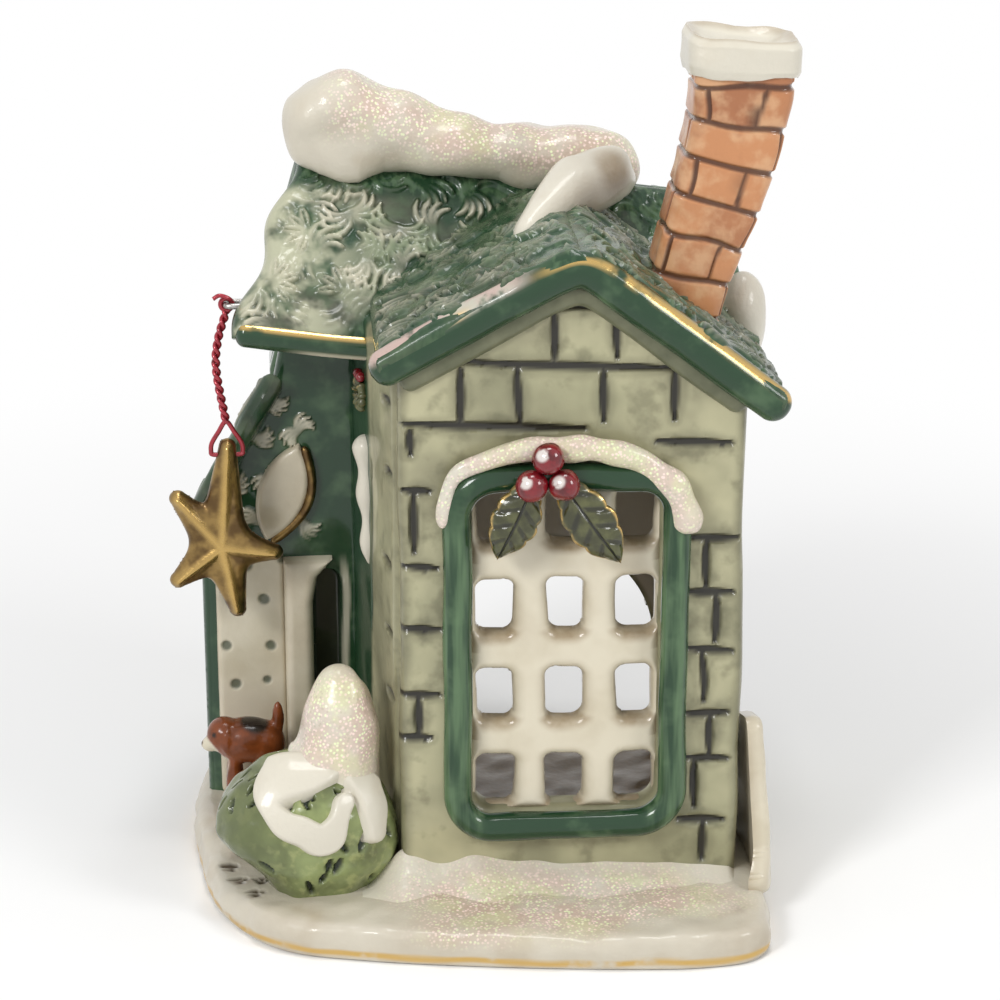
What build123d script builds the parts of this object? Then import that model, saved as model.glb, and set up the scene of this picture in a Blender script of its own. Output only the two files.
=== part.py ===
"""Ceramic christmas village house: a slab-built tea-light house with a hanging star.

Millimetres. +Z is up, the window faces -Y, and the origin is on the underside of the base slab.
"""

import os
from math import cos, radians, sin, tan

from build123d import *

os.makedirs("parts", exist_ok=True)

# Base slab
base_thickness = 6.0
base_rim = 2.6
base_left = -53.0
base_right = 53.5
base_front = -53.2
base_back = 48.5
base_outline = (
    (0.0, 0.62),
    (0.014, 0.444),
    (0.052, 0.267),
    (0.15, 0.125),
    (0.31, 0.066),
    (0.526, 0.027),
    (0.732, 0.005),
    (0.873, 0.002),
    (0.967, 0.031),
    (1.0, 0.13),
    (0.998, 0.405),
    (0.989, 0.7),
    (0.972, 0.916),
    (0.901, 0.99),
    (0.498, 1.0),
    (0.16, 0.99),
    (0.052, 0.926),
    (0.01, 0.79),
)

# Walls, in plan
wall = 5.0
front_y = -27.0
door_y = 17.0
back_y = 43.0
wing_left_x = -13.5
wing_splay = 7.0
right_x = 48.5
main_left_x = -36.0
gable_lean = 14.0
porch_left_x = -50.0
porch_splay = 8.0

# Roof of the front wing, along the middle of its slab
roof_slab = 5.0
wing_ridge_x = 18.5
wing_ridge_z = 125.4
wing_ridge_round = 7.0
wing_eave_left_x = -16.0
wing_eave_left_z = 106.6
wing_eave_right_x = 53.2
wing_eave_right_z = 98.6
verge_overhang = 4.5

# Main roof, along the middle of its slab, with its ridge running down to the right
roof_lean = 7.0
main_ridge_x = 3.0
main_ridge_y = 28.0
main_ridge_z = 126.6
main_front_run = 23.0
main_front_drop = 27.0
main_back_run = 20.0
main_back_drop = 23.5
main_ridge_left_x = -29.0
main_ridge_right_x = 51.0
main_eave_left_x = -42.0
main_back_eave_left_x = -36.0
main_eave_right_x = 56.5
verge_wave = 1.2

# Porch roof, a steep pent roof at the left
porch_slab = 4.0
porch_roof_top_z = 91.0
porch_eave_x = -52.0
porch_eave_z = 63.5
porch_overhang = 5.0
porch_back_overhang = 2.5

# Leaf sprays pressed on the roofs: a fan of pointed leaves at each place along the ridge and down the slope
spray_leaf_length = 6.0
spray_leaf_width = 2.6
spray_relief = 1.1
spray_bed = 0.5
spray_fan = (-70.0, -35.0, 0.0, 35.0, 70.0)
spray_turn = 100.0
wing_left_sprays = (
    (-22.0, 10.0),
    (-8.0, 10.0),
    (6.0, 10.0),
    (-15.0, 21.5),
    (-1.0, 21.5),
    (-22.0, 32.5),
    (-8.0, 32.5),
    (4.0, 32.5),
)
wing_right_sprays = ((22.0, 10.0), (8.0, 9.0), (-6.0, 10.0), (22.0, 22.0), (-8.0, 22.0), (23.0, 35.0), (-7.0, 34.0))
main_front_sprays = ((30.0, 16.5), (16.0, 16.5), (36.0, 27.5), (22.5, 27.5), (-41.0, 11.0))
porch_sprays = ((8.0, 17.5), (21.0, 25.0))
main_back_sprays = (
    (-27.0, 24.0),
    (-13.0, 24.0),
    (1.0, 24.0),
    (15.0, 24.0),
    (29.0, 24.0),
    (43.0, 24.0),
    (-20.0, 13.5),
    (-6.0, 13.5),
    (8.0, 13.5),
    (22.0, 13.5),
    (36.0, 13.5),
)

# Stone joints incised in the front wall: height, left end, right end, fall of the upright joints and their places
joint_width = 1.4
joint_depth = 0.7
front_courses = (
    (116.0, 10.5, 23.0, 9.6, (14.0, 25.0)),
    (105.2, -4.5, 35.0, 10.2, (-2.5, 7.7, 22.6, 35.2)),
    (94.4, -12.0, 19.5, 5.0, (-11.0,)),
    (90.6, 39.2, 45.5, 0.0, ()),
    (82.8, -12.0, -8.0, 11.5, (-11.0,)),
    (68.2, -12.0, -6.5, 0.0, ()),
    (56.2, -12.0, -6.5, 0.0, ()),
    (43.8, -12.0, -6.7, 8.0, (-10.2,)),
    (35.2, -12.0, -8.0, 0.0, ()),
    (72.6, 39.2, 47.0, 9.4, (41.6,)),
    (62.2, 39.2, 46.4, 9.5, (43.6,)),
    (51.1, 39.2, 46.8, 10.0, (41.4,)),
    (38.6, 39.2, 46.0, 8.2, (43.0,)),
    (29.6, 39.2, 46.4, 9.6, (40.2,)),
    (17.4, 39.2, 45.6, 8.0, (41.9,)),
)

# Stone courses of the back wall
stone_height = 11.5
stone_length = 17.0
stone_courses = 8

# Window
window_x = 16.4
window_z = 51.5
window_width = 34.0
window_height = 62.0
window_corner = 4.0
frame_band = 5.2
frame_height = 4.0
frame_round = 2.1
lattice_thickness = 4.0
lattice_setback = 0.6
pane_width = 6.8
pane_height = 10.0
pane_corner = 1.9
pane_pitch_x = 12.7
pane_pitch_z = 17.0
window_snow_side = 1.6
window_snow_top = 6.0
window_snow_height = 5.4
window_snow_drop = 12.0
window_snow_corner = 13.0
window_snow_round = 2.0

# Holly over the window
berry_radius = 2.8
berry_pitch = 5.7
berry_offset = 3.9
berry_rise = 0.3
berry_stand = 6.4
leaf_thickness = 1.6
leaf_left_length = 14.5
leaf_right_length = 17.5
leaf_width = 7.6
leaf_left_lean = -24.0
leaf_right_lean = 34.0

# Rear opening for the tea light, and the vents above it
arch_x = 17.5
arch_width = 46.0
arch_height = 44.0
vent_width = 8.0
vent_height = 11.0
vent_corner = 2.2
vent_pitch_x = 14.0
vent_pitch_z = 17.0
vent_z = 76.0

# Entrance
door_left_x = -47.4
door_width = 13.2
door_height = 51.0
door_thickness = 1.6
door_round = 3.0
pier_width = 5.3
pier_depth = 4.0
pier_drop = 2.0
pier_flare = 4.0
pier_flare_height = 8.0
niche_width = 5.6
niche_drop = 5.0
niche_depth = 2.6
tympanum_x = -30.8
tympanum_rise = 21.0
tympanum_length = 20.5
tympanum_width = 9.0
tympanum_lean = -19.0
tympanum_thickness = 1.8
bead_radius = 0.9

# Wreath and snow on the wing's side wall
wreath_y = 6.0
wreath_z = 91.0
wreath_ring = 2.4
wreath_tube = 0.9
bow_radius = 1.2
streak_y = 3.0
streak_z = 71.0
streak_length = 24.0
streak_width = 4.2
streak_thickness = 1.4

# Chimney
chimney_y = -7.0
chimney_corner = 2.2
chimney_foot_z = 103.0
chimney_top_z = 152.3
chimney_foot_width = 13.0
chimney_top_width = 18.0
chimney_foot_depth = 12.5
chimney_top_depth = 15.0
chimney_foot_x = 38.0
chimney_top_x = 48.5
chimney_cap_height = 8.5
chimney_cap_rim = 1.0
chimney_cap_round = 2.4
chimney_dish = 2.2

# Snow on the roofs
snow_bed = 2.5
ridge_snow_half_width = 8.4
verge_snow_x = 52.0
verge_snow_y = 7.0
verge_snow_z = 103.5
verge_snow_width = 9.0
verge_snow_depth = 11.0
verge_snow_height = 18.0
verge_snow_foot_z = 101.0

# Snow drift at the foot of the front wall
drift_left_height = 6.0
drift_right_height = 1.4
drift_left_depth = 11.0
drift_right_depth = 5.0
drift_hollow_run = 0.4
drift_hollow_rise = 0.45

# Bush
bush_x = -31.0
bush_y = -21.0
bush_width = 34.0
bush_depth = 25.0
bush_height = 32.0
bush_middle_z = 15.0
peak_x = -24.5
peak_y = -20.5
peak_top_z = 47.5
peak_shoulder_z = 37.0
peak_radius = 6.8
skirt_z = 16.0
skirt_radius = 12.0
skirt_slope = 2.2

# Puppy
puppy_x = -42.0
puppy_y = 7.0
puppy_body_length = 5.0
puppy_body_radius = 4.8
puppy_head_radius = 3.6
puppy_muzzle_radius = 1.8
puppy_ear_radius = 1.6
puppy_leg_height = 13.0
puppy_leg_radius = 1.7
puppy_tail_length = 6.5
puppy_tail_radius = 1.3

# Garden panel at the right
panel_height = 31.0
panel_back_height = 19.0
panel_length = 27.0
panel_thickness = 3.2
panel_round = 4.0
panel_lean = 4.0
panel_flare = 3.0

# Roof staple, wire hanger and star: angle and length of each arm of the star from its centre
staple_x = -43.5
staple_z = 108.0
staple_radius = 0.55
staple_width = 3.2
staple_depth = 6.5
staple_bend = 0.7
seat_clearance = 0.03
wire_radius = 0.45
wire_twist_radius = 0.8
wire_bow = 2.0
wire_bend_high = 0.7
wire_bend_low = 0.45
pin_clearance = 0.1
star_x = -45.7
star_y = 6.0
star_z = 61.7
star_half = 2.4
star_edge_round = 1.5
star_arms = ((85.2, 21.4), (-9.4, 11.9), (-78.4, 15.0), (219.1, 12.6), (130.0, 14.2))
star_root = 5.0
star_tip_round = 1.9
star_valley_round = 2.0
star_hole_inset = 3.4
bail_gap = 0.6
bail_rise = 6.4
bail_bend = 0.7

sky = 190.0
half_slab = roof_slab / 2
base_top = base_thickness


def front_plane(y):
    """Upright plane at depth y whose sketch x is X and whose sketch y is Z."""
    return Plane.XZ.offset(-y)


def side_plane(x):
    """Upright plane at x whose sketch x is Y and whose sketch y is Z."""
    return Plane.YZ.offset(x)


def wing_side(y):
    """X of the outer face of the wing's splayed left wall at depth y."""
    return wing_left_x - wing_splay * (y - front_y) / (door_y - front_y)


def porch_side(y):
    """X of the outer face of the porch's splayed side wall at depth y."""
    return porch_left_x + porch_splay * (y - door_y) / (back_y - door_y)


def roof_ridge(x):
    """Height of the middle of the main roof's slab at its ridge."""
    return main_ridge_z - (x - main_ridge_x) * tan(radians(roof_lean))


def cut_by(*pieces):
    """Take the given pieces out of the part being built."""
    for piece in pieces:
        add(piece.part, mode=Mode.SUBTRACT)


def roof_face(ridge_point, along, down, half):
    """Plane just under the top of a roof slab, its sketch x along the ridge and its sketch y down the slope."""
    over = along.cross(down).normalized()
    return Plane(origin=ridge_point + over * (half - spray_bed), x_dir=along, z_dir=over)


def leaf_sprays(plane, places):
    """Fans of pointed leaves on a roof's plane, each fan turned on from the one before."""
    with BuildSketch(plane) as sprays:
        for number, place in enumerate(places):
            stalk = Vector(place)
            for fan_angle in spray_fan:
                angle = radians(fan_angle + number * spray_turn)
                tip = stalk + Vector(cos(angle), sin(angle)) * spray_leaf_length
                side = Vector(-sin(angle), cos(angle)) * (spray_leaf_width / 2)
                middle = (stalk + tip) / 2
                with BuildLine():
                    ThreePointArc(stalk, middle + side, tip)
                    ThreePointArc(tip, middle - side, stalk)
                make_face()
    return sprays.sketch


wing_eave_left = (wing_eave_left_x, wing_eave_left_z)
wing_ridge = (wing_ridge_x, wing_ridge_z)
wing_eave_right = (wing_eave_right_x, wing_eave_right_z)
verge_y = front_y - verge_overhang

ridge_direction = Vector(cos(radians(roof_lean)), 0, -sin(radians(roof_lean)))
ridge_origin = Vector(main_ridge_x, main_ridge_y, main_ridge_z)
ridge_span = 150.0
ridge_plane = Plane(
    origin=ridge_origin - ridge_direction * (ridge_span / 2), x_dir=(0, 1, 0), z_dir=ridge_direction
)
wing_ridge_middle = Vector(wing_ridge_x, 0, wing_ridge_z)
wing_run = Vector(0, 1, 0)
wing_down_left = Vector(wing_eave_left_x, 0, wing_eave_left_z) - wing_ridge_middle
wing_down_right = Vector(wing_eave_right_x, 0, wing_eave_right_z) - wing_ridge_middle
main_down_front = Vector(0, -main_front_run, 0) - ridge_plane.y_dir * main_front_drop
main_down_back = Vector(0, main_back_run, 0) - ridge_plane.y_dir * main_back_drop
spray_rise = spray_bed + spray_relief
main_eave_front = (-main_front_run, -main_front_drop)
main_eave_back = (main_back_run, -main_back_drop)

# Spaces used only for cutting: over and under the roofs, and inside the wing
with BuildPart() as wing_sheet:
    with BuildSketch(front_plane(verge_y)):
        with BuildLine():
            FilletPolyline(wing_eave_left, wing_ridge, wing_eave_right, radius=wing_ridge_round)
            offset(amount=half_slab)
        make_face()
    extrude(amount=-(main_ridge_y - verge_y))

with BuildPart() as above_wing:
    with BuildSketch(front_plane(verge_y)):
        with BuildLine():
            FilletPolyline(wing_eave_left, wing_ridge, wing_eave_right, radius=wing_ridge_round)
            Polyline(
                wing_eave_right,
                (wing_eave_right_x, wing_eave_right_z - half_slab),
                (sky, wing_eave_right_z - half_slab),
                (sky, sky),
                (-sky, sky),
                (-sky, wing_eave_left_z - half_slab),
                (wing_eave_left_x, wing_eave_left_z - half_slab),
                wing_eave_left,
            )
        make_face()
    extrude(amount=-(main_ridge_y - verge_y))

with BuildPart() as main_sheet:
    with BuildSketch(ridge_plane):
        with BuildLine():
            Polyline(main_eave_front, (0, 0), main_eave_back)
            offset(amount=half_slab)
        make_face()
    extrude(amount=ridge_span)

with BuildPart() as under_main:
    with BuildSketch(ridge_plane):
        with BuildLine():
            Polyline(
                main_eave_front,
                (0, 0),
                main_eave_back,
                (main_back_run, -sky),
                (-main_front_run, -sky),
                close=True,
            )
        make_face()
    extrude(amount=ridge_span)

with BuildPart() as wing_inside:
    with BuildSketch(Plane.XY.offset(base_top)):
        with BuildLine():
            Polyline(
                (wing_side(front_y), front_y),
                (right_x, front_y),
                (right_x, main_ridge_y),
                (wing_side(main_ridge_y), main_ridge_y),
                close=True,
            )
        make_face()
    extrude(amount=sky)
    cut_by(wing_sheet, above_wing)

with BuildPart() as above_main:
    with BuildSketch(ridge_plane):
        with BuildLine():
            Polyline(
                main_eave_front,
                (0, 0),
                main_eave_back,
                (main_back_run, sky),
                (-main_front_run, sky),
                close=True,
            )
        make_face()
    extrude(amount=ridge_span)
    cut_by(wing_inside)

# Main roof: two slabs that lean to the right and flare towards the eaves
front_eave_y = main_ridge_y - main_front_run - roof_slab
back_eave_y = main_ridge_y + main_back_run + roof_slab
verge_step = (main_ridge_left_x - main_eave_left_x) / 4
verge_run = (main_ridge_y - front_eave_y) / 4
staple_seat_x = main_eave_left_x + verge_step
staple_fall = (roof_ridge(staple_seat_x) - staple_z) * cos(radians(roof_lean))
staple_y = main_ridge_y - staple_fall * main_front_run / main_front_drop

with BuildPart() as main_roof_front:
    add(main_sheet.part)
    with BuildSketch():
        with BuildLine():
            Spline(
                (main_eave_left_x, front_eave_y),
                (main_eave_left_x + verge_step - verge_wave, front_eave_y + verge_run),
                (main_eave_left_x + 2 * verge_step + verge_wave, front_eave_y + 2 * verge_run),
                (main_eave_left_x + 3 * verge_step - verge_wave, front_eave_y + 3 * verge_run),
                (main_ridge_left_x, main_ridge_y),
            )
            Polyline(
                (main_ridge_left_x, main_ridge_y),
                (main_ridge_right_x, main_ridge_y),
                (main_eave_right_x, front_eave_y),
                (main_eave_left_x, front_eave_y),
            )
        make_face()
    extrude(amount=sky, mode=Mode.INTERSECT)
    extrude(
        leaf_sprays(roof_face(ridge_origin, ridge_direction * -1, main_down_front, half_slab), main_front_sprays),
        amount=spray_rise,
    )
    cut_by(wing_inside)
    with BuildSketch(side_plane(staple_x + staple_depth)):
        with Locations((staple_y, staple_z)):
            with GridLocations(staple_width, staple_width, 2, 1):
                Circle(staple_radius + seat_clearance)
    extrude(amount=-staple_depth, mode=Mode.SUBTRACT)

with BuildPart() as main_roof_back:
    add(main_sheet.part)
    with BuildSketch():
        with BuildLine():
            Polyline(
                (main_ridge_left_x, main_ridge_y),
                (main_ridge_right_x, main_ridge_y),
                (main_eave_right_x, back_eave_y),
                (main_back_eave_left_x, back_eave_y),
                close=True,
            )
        make_face()
    extrude(amount=sky, mode=Mode.INTERSECT)
    extrude(
        leaf_sprays(roof_face(ridge_origin, ridge_direction, main_down_back, half_slab), main_back_sprays),
        amount=spray_rise,
    )

# Wing roof: two slabs that meet at the ridge and end on the main roof
with BuildPart() as wing_roof_left:
    add(wing_sheet.part)
    extrude(
        leaf_sprays(roof_face(wing_ridge_middle, wing_run, wing_down_left, half_slab), wing_left_sprays),
        amount=spray_rise,
    )
    cut_by(main_roof_front, main_roof_back, under_main)
    split(bisect_by=side_plane(wing_ridge_x), keep=Keep.BOTTOM)

with BuildPart() as wing_roof_right:
    add(wing_sheet.part)
    extrude(
        leaf_sprays(roof_face(wing_ridge_middle, wing_run * -1, wing_down_right, half_slab), wing_right_sprays),
        amount=spray_rise,
    )
    cut_by(main_roof_front, main_roof_back, under_main)
    split(bisect_by=side_plane(wing_ridge_x), keep=Keep.TOP)

# Porch roof: a steep slab against the main block's left gable, running inward to the back
porch_front_y = door_y - porch_overhang
porch_run = Vector(porch_splay, back_y - door_y, 0).normalized()
porch_length = (back_y + porch_back_overhang - porch_front_y) / porch_run.Y
gable_top_x = main_left_x + (sky - porch_roof_top_z) * tan(radians(gable_lean))

with BuildPart() as porch_roof:
    with BuildSketch(front_plane(porch_front_y)) as porch_profile:
        with BuildLine():
            Line((porch_eave_x, porch_eave_z), (main_left_x + porch_slab, porch_roof_top_z + 2 * porch_slab))
            offset(amount=porch_slab / 2)
        make_face()
    extrude(porch_profile.sketch, amount=porch_length, dir=porch_run)
    porch_eave = Vector(porch_eave_x, porch_front_y, porch_eave_z)
    porch_head = Vector(main_left_x, porch_front_y, porch_roof_top_z)
    extrude(
        leaf_sprays(roof_face(porch_head, porch_run, porch_eave - porch_head, porch_slab / 2), porch_sprays),
        amount=spray_rise,
    )
    split(bisect_by=side_plane(main_left_x), keep=Keep.BOTTOM)

with BuildPart() as above_porch:
    with BuildSketch(front_plane(porch_front_y)) as porch_sky:
        with BuildLine():
            Polyline(
                (porch_eave_x, porch_eave_z),
                (main_left_x + porch_slab, porch_roof_top_z + 2 * porch_slab),
                (main_left_x + porch_slab, sky),
                (-sky, sky),
                (-sky, porch_eave_z),
                close=True,
            )
        make_face()
    extrude(porch_sky.sketch, amount=porch_length, dir=porch_run)
    split(bisect_by=side_plane(main_left_x), keep=Keep.BOTTOM)

with BuildPart() as outside_gable:
    with BuildSketch(front_plane(porch_front_y)):
        with BuildLine():
            Polyline(
                (main_left_x, porch_roof_top_z),
                (gable_top_x, sky),
                (-sky, sky),
                (-sky, porch_roof_top_z),
                close=True,
            )
        make_face()
    extrude(amount=-(back_y + porch_back_overhang - porch_front_y))

roof_pieces = (main_roof_front, main_roof_back, above_main, porch_roof, above_porch, outside_gable)


def plan_face(*corners):
    """Face on the top of the base with the given plan corners."""
    with BuildSketch(Plane.XY.offset(base_top)) as plan:
        with BuildLine():
            Polyline(*corners, close=True)
        make_face()
    return plan.sketch


def rectangle_plan(left, right, front, back):
    """Plan face of a straight wall between two X and two Y values."""
    return plan_face((left, front), (right, front), (right, back), (left, back))


def stone_joints(plane, wall_courses):
    """Bars on a wall's plane for the level and upright joints of its courses."""
    with BuildSketch(plane) as joints:
        for level, left, right, fall, uprights in wall_courses:
            with Locations(((left + right) / 2, level)):
                Rectangle(right - left, joint_width)
            for upright in uprights:
                with Locations((upright, level - fall / 2)):
                    Rectangle(joint_width, fall)
    return joints.sketch


def ball(x, y, z, radius_x, radius_y, radius_z):
    """Ellipsoid with its centre at x, y, z."""
    return Pos(x, y, z) * scale(Sphere(1.0, mode=Mode.PRIVATE), by=(radius_x, radius_y, radius_z), mode=Mode.PRIVATE)


wall_rise = sky - base_top
wing_back_y = door_y + wall

# Base slab with a rounded rim and a wavy snow edge
with BuildPart() as base_slab:
    with BuildSketch():
        with BuildLine():
            Spline(
                *[
                    (base_left + across * (base_right - base_left), base_front + along * (base_back - base_front))
                    for across, along in base_outline
                ],
                periodic=True,
            )
        make_face()
    extrude(amount=base_thickness)
    fillet(base_slab.edges().group_by(Axis.Z)[-1], base_rim)

# Walls of the front wing
with BuildPart() as front_wall:
    extrude(rectangle_plan(wing_left_x, right_x, front_y, front_y + wall), amount=wall_rise)
    with BuildSketch(front_plane(front_y)):
        with Locations((window_x, window_z)):
            RectangleRounded(window_width, window_height, window_corner)
    extrude(amount=-wall, mode=Mode.SUBTRACT)
    extrude(stone_joints(front_plane(front_y), front_courses), amount=-joint_depth, mode=Mode.SUBTRACT)
    cut_by(wing_sheet, above_wing)

with BuildPart() as wing_left_wall:
    wing_front_y = front_y + wall
    extrude(
        plan_face(
            (wing_side(wing_front_y), wing_front_y),
            (wing_side(wing_front_y) + wall, wing_front_y),
            (wing_side(wing_back_y) + wall, wing_back_y),
            (wing_side(wing_back_y), wing_back_y),
        ),
        amount=wall_rise,
    )
    cut_by(wing_sheet, above_wing, *roof_pieces)

with BuildPart() as wing_right_wall:
    extrude(rectangle_plan(right_x - wall, right_x, front_y + wall, door_y), amount=wall_rise)
    cut_by(wing_sheet, above_wing, *roof_pieces)

# Walls of the main block
with BuildPart() as right_gable_wall:
    extrude(rectangle_plan(right_x - wall, right_x, door_y, back_y - wall), amount=wall_rise)
    cut_by(*roof_pieces)

with BuildPart() as left_gable_wall:
    with BuildSketch(front_plane(wing_back_y)):
        with BuildLine():
            Polyline(
                (main_left_x, base_top),
                (main_left_x + wall, base_top),
                (main_left_x + wall, porch_roof_top_z),
                (gable_top_x + wall, sky),
                (gable_top_x, sky),
                (main_left_x, porch_roof_top_z),
                close=True,
            )
        make_face()
    extrude(amount=-(back_y - wall - wing_back_y))
    cut_by(*roof_pieces)

back_left_x = porch_side(back_y) + wall / 2
back_right_x = right_x - wall / 2
back_courses = []
for course in range(1, stone_courses + 1):
    first_upright = back_left_x + stone_length * (1 + course % 2) / 2
    stones = int((back_right_x - first_upright) / stone_length) + 1
    back_uprights = [first_upright + stone_length * stone for stone in range(stones)]
    back_courses.append((base_top + stone_height * course, back_left_x, back_right_x, stone_height, back_uprights))

with BuildPart() as back_wall:
    extrude(
        plan_face(
            (porch_side(back_y - wall), back_y - wall),
            (right_x, back_y - wall),
            (right_x, back_y),
            (porch_side(back_y), back_y),
        ),
        amount=wall_rise,
    )
    with BuildSketch(front_plane(back_y - wall)):
        with BuildLine():
            spring_z = base_top + arch_height - arch_width / 2
            Polyline(
                (arch_x - arch_width / 2, spring_z),
                (arch_x - arch_width / 2, base_top),
                (arch_x + arch_width / 2, base_top),
                (arch_x + arch_width / 2, spring_z),
            )
            ThreePointArc(
                (arch_x + arch_width / 2, spring_z),
                (arch_x, base_top + arch_height),
                (arch_x - arch_width / 2, spring_z),
            )
        make_face()
        with Locations((arch_x, vent_z)):
            with GridLocations(vent_pitch_x, vent_pitch_z, 3, 2):
                RectangleRounded(vent_width, vent_height, vent_corner)
    extrude(amount=-wall, mode=Mode.SUBTRACT)
    extrude(stone_joints(front_plane(back_y), back_courses), amount=joint_depth, mode=Mode.SUBTRACT)
    cut_by(*roof_pieces)

# Porch walls, with a blind arched niche beside the door
pier_left_x = door_left_x + door_width
niche_height = door_height - niche_drop
niche_x = pier_left_x + pier_width + niche_width / 2

with BuildPart() as porch_front_wall:
    extrude(
        plan_face(
            (porch_side(door_y), door_y),
            (wing_side(wing_back_y) + wall, door_y),
            (wing_side(wing_back_y) + wall, wing_back_y),
            (porch_side(wing_back_y), wing_back_y),
        ),
        amount=wall_rise,
    )
    with BuildSketch(front_plane(door_y)):
        with BuildLine():
            niche_spring_z = base_top + niche_height - niche_width / 2
            Polyline(
                (niche_x - niche_width / 2, niche_spring_z),
                (niche_x - niche_width / 2, base_top),
                (niche_x + niche_width / 2, base_top),
                (niche_x + niche_width / 2, niche_spring_z),
            )
            ThreePointArc(
                (niche_x + niche_width / 2, niche_spring_z),
                (niche_x, base_top + niche_height),
                (niche_x - niche_width / 2, niche_spring_z),
            )
        make_face()
    extrude(amount=-niche_depth, mode=Mode.SUBTRACT)
    cut_by(wing_left_wall, *roof_pieces)

with BuildPart() as porch_side_wall:
    extrude(
        plan_face(
            (porch_side(wing_back_y), wing_back_y),
            (porch_side(wing_back_y) + wall, wing_back_y),
            (porch_side(back_y - wall) + wall, back_y - wall),
            (porch_side(back_y - wall), back_y - wall),
        ),
        amount=wall_rise,
    )
    cut_by(porch_roof, above_porch)

# Snow drift against the foot of the front wall
with BuildPart() as front_snow_drift:
    for drift_x, drift_height, drift_depth in (
        (wing_left_x, drift_left_height, drift_left_depth),
        (right_x, drift_right_height, drift_right_depth),
    ):
        with BuildSketch(side_plane(drift_x)):
            with BuildLine():
                drift_toe = (front_y - drift_depth, base_top)
                drift_top = (front_y, base_top + drift_height)
                Polyline(drift_toe, (front_y, base_top), drift_top)
                ThreePointArc(
                    drift_top,
                    (front_y - drift_hollow_run * drift_depth, base_top + drift_hollow_rise * drift_height),
                    drift_toe,
                )
            make_face()
    loft()

# Window: lattice in the wall, rolled frame on the wall, snow over the frame
with BuildPart() as window_lattice:
    with BuildSketch(front_plane(front_y + lattice_setback)):
        with Locations((window_x, window_z)):
            RectangleRounded(window_width, window_height, window_corner)
            with GridLocations(pane_pitch_x, pane_pitch_z, 3, 4):
                RectangleRounded(pane_width, pane_height, pane_corner, mode=Mode.SUBTRACT)
    extrude(amount=-lattice_thickness)

frame_width = window_width + 2 * frame_band
frame_rise = window_height + 2 * frame_band

with BuildPart() as window_frame:
    with BuildSketch(front_plane(front_y)):
        with Locations((window_x, window_z)):
            RectangleRounded(frame_width, frame_rise, window_corner + frame_band)
            RectangleRounded(window_width, window_height, window_corner, mode=Mode.SUBTRACT)
    extrude(amount=frame_height)
    fillet(window_frame.edges().group_by(Axis.Y)[0], frame_round)

with BuildPart() as window_snow:
    with BuildSketch(front_plane(front_y)) as snow_arch:
        with Locations((window_x, window_z + window_snow_top / 2)):
            RectangleRounded(
                frame_width + 2 * window_snow_side, frame_rise + window_snow_top, window_snow_corner
            )
        with Locations((window_x, window_z)):
            RectangleRounded(
                window_width + frame_band,
                window_height + frame_band,
                window_corner + frame_band / 2,
                mode=Mode.SUBTRACT,
            )
        with Locations((window_x, window_z + frame_rise / 2 - window_snow_drop)):
            Rectangle(2 * frame_width, 2 * frame_rise, align=(Align.CENTER, Align.MAX), mode=Mode.SUBTRACT)
        fillet(snow_arch.vertices().group_by(Axis.Y)[0], window_snow_round)
    extrude(amount=window_snow_height)
    fillet(window_snow.edges().group_by(Axis.Y)[0], window_snow_round)
    cut_by(window_frame)


def pointed_leaf(plane, x, y, length, width, lean):
    """Pointed oval that starts at x, y of the plane and hangs down, leaning by an angle in degrees."""
    run = length * sin(radians(lean))
    fall = length * cos(radians(lean))
    side = Vector(cos(radians(lean)), sin(radians(lean))) * (width / 2)
    start = Vector(x, y)
    tip = Vector(x + run, y - fall)
    middle = (start + tip) / 2
    with BuildSketch(plane) as leaf:
        with BuildLine():
            ThreePointArc(start, middle + side, tip)
            ThreePointArc(tip, middle - side, start)
        make_face()
    return leaf.sketch


# Holly: two leaves on the frame and three berries over their stalks
leaf_plane = front_plane(front_y - frame_height)
berry_x = window_x - berry_offset
berry_z = window_z + (window_height + frame_band) / 2 + berry_rise
leaf_start_z = berry_z - berry_radius / 4

with BuildPart() as holly_leaf_left:
    extrude(
        pointed_leaf(
            leaf_plane, berry_x - berry_pitch / 2, leaf_start_z, leaf_left_length, leaf_width, leaf_left_lean
        ),
        amount=leaf_thickness,
    )
    cut_by(window_snow, window_frame)

with BuildPart() as holly_leaf_right:
    extrude(
        pointed_leaf(
            leaf_plane, berry_x + berry_pitch / 2, leaf_start_z, leaf_right_length, leaf_width, leaf_right_lean
        ),
        amount=leaf_thickness,
    )
    cut_by(window_snow, window_frame)

berry_row = berry_pitch * sin(radians(60))
berry_y = front_y - berry_stand

with BuildPart() as holly_berry_left:
    with Locations((berry_x - berry_pitch / 2, berry_y, berry_z)):
        Sphere(berry_radius)
    cut_by(window_snow, window_frame, holly_leaf_left, holly_leaf_right)

with BuildPart() as holly_berry_right:
    with Locations((berry_x + berry_pitch / 2, berry_y, berry_z)):
        Sphere(berry_radius)
    cut_by(window_snow, window_frame, holly_leaf_left, holly_leaf_right)

with BuildPart() as holly_berry_top:
    with Locations((berry_x, berry_y, berry_z + berry_row)):
        Sphere(berry_radius)
    cut_by(window_snow, window_frame, holly_leaf_left, holly_leaf_right)

# Entrance: door, pier with a flared head, pointed tympanum and its bead
pier_height = door_height - pier_drop
tympanum_z = base_top + door_height + tympanum_rise

with BuildPart() as door_panel:
    with BuildSketch(front_plane(door_y)) as door_face:
        with Locations((door_left_x, base_top)):
            Rectangle(door_width, door_height, align=(Align.MIN, Align.MIN))
        fillet(door_face.vertices().group_by(Axis.Y)[-1], door_round)
    extrude(amount=door_thickness)

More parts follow.
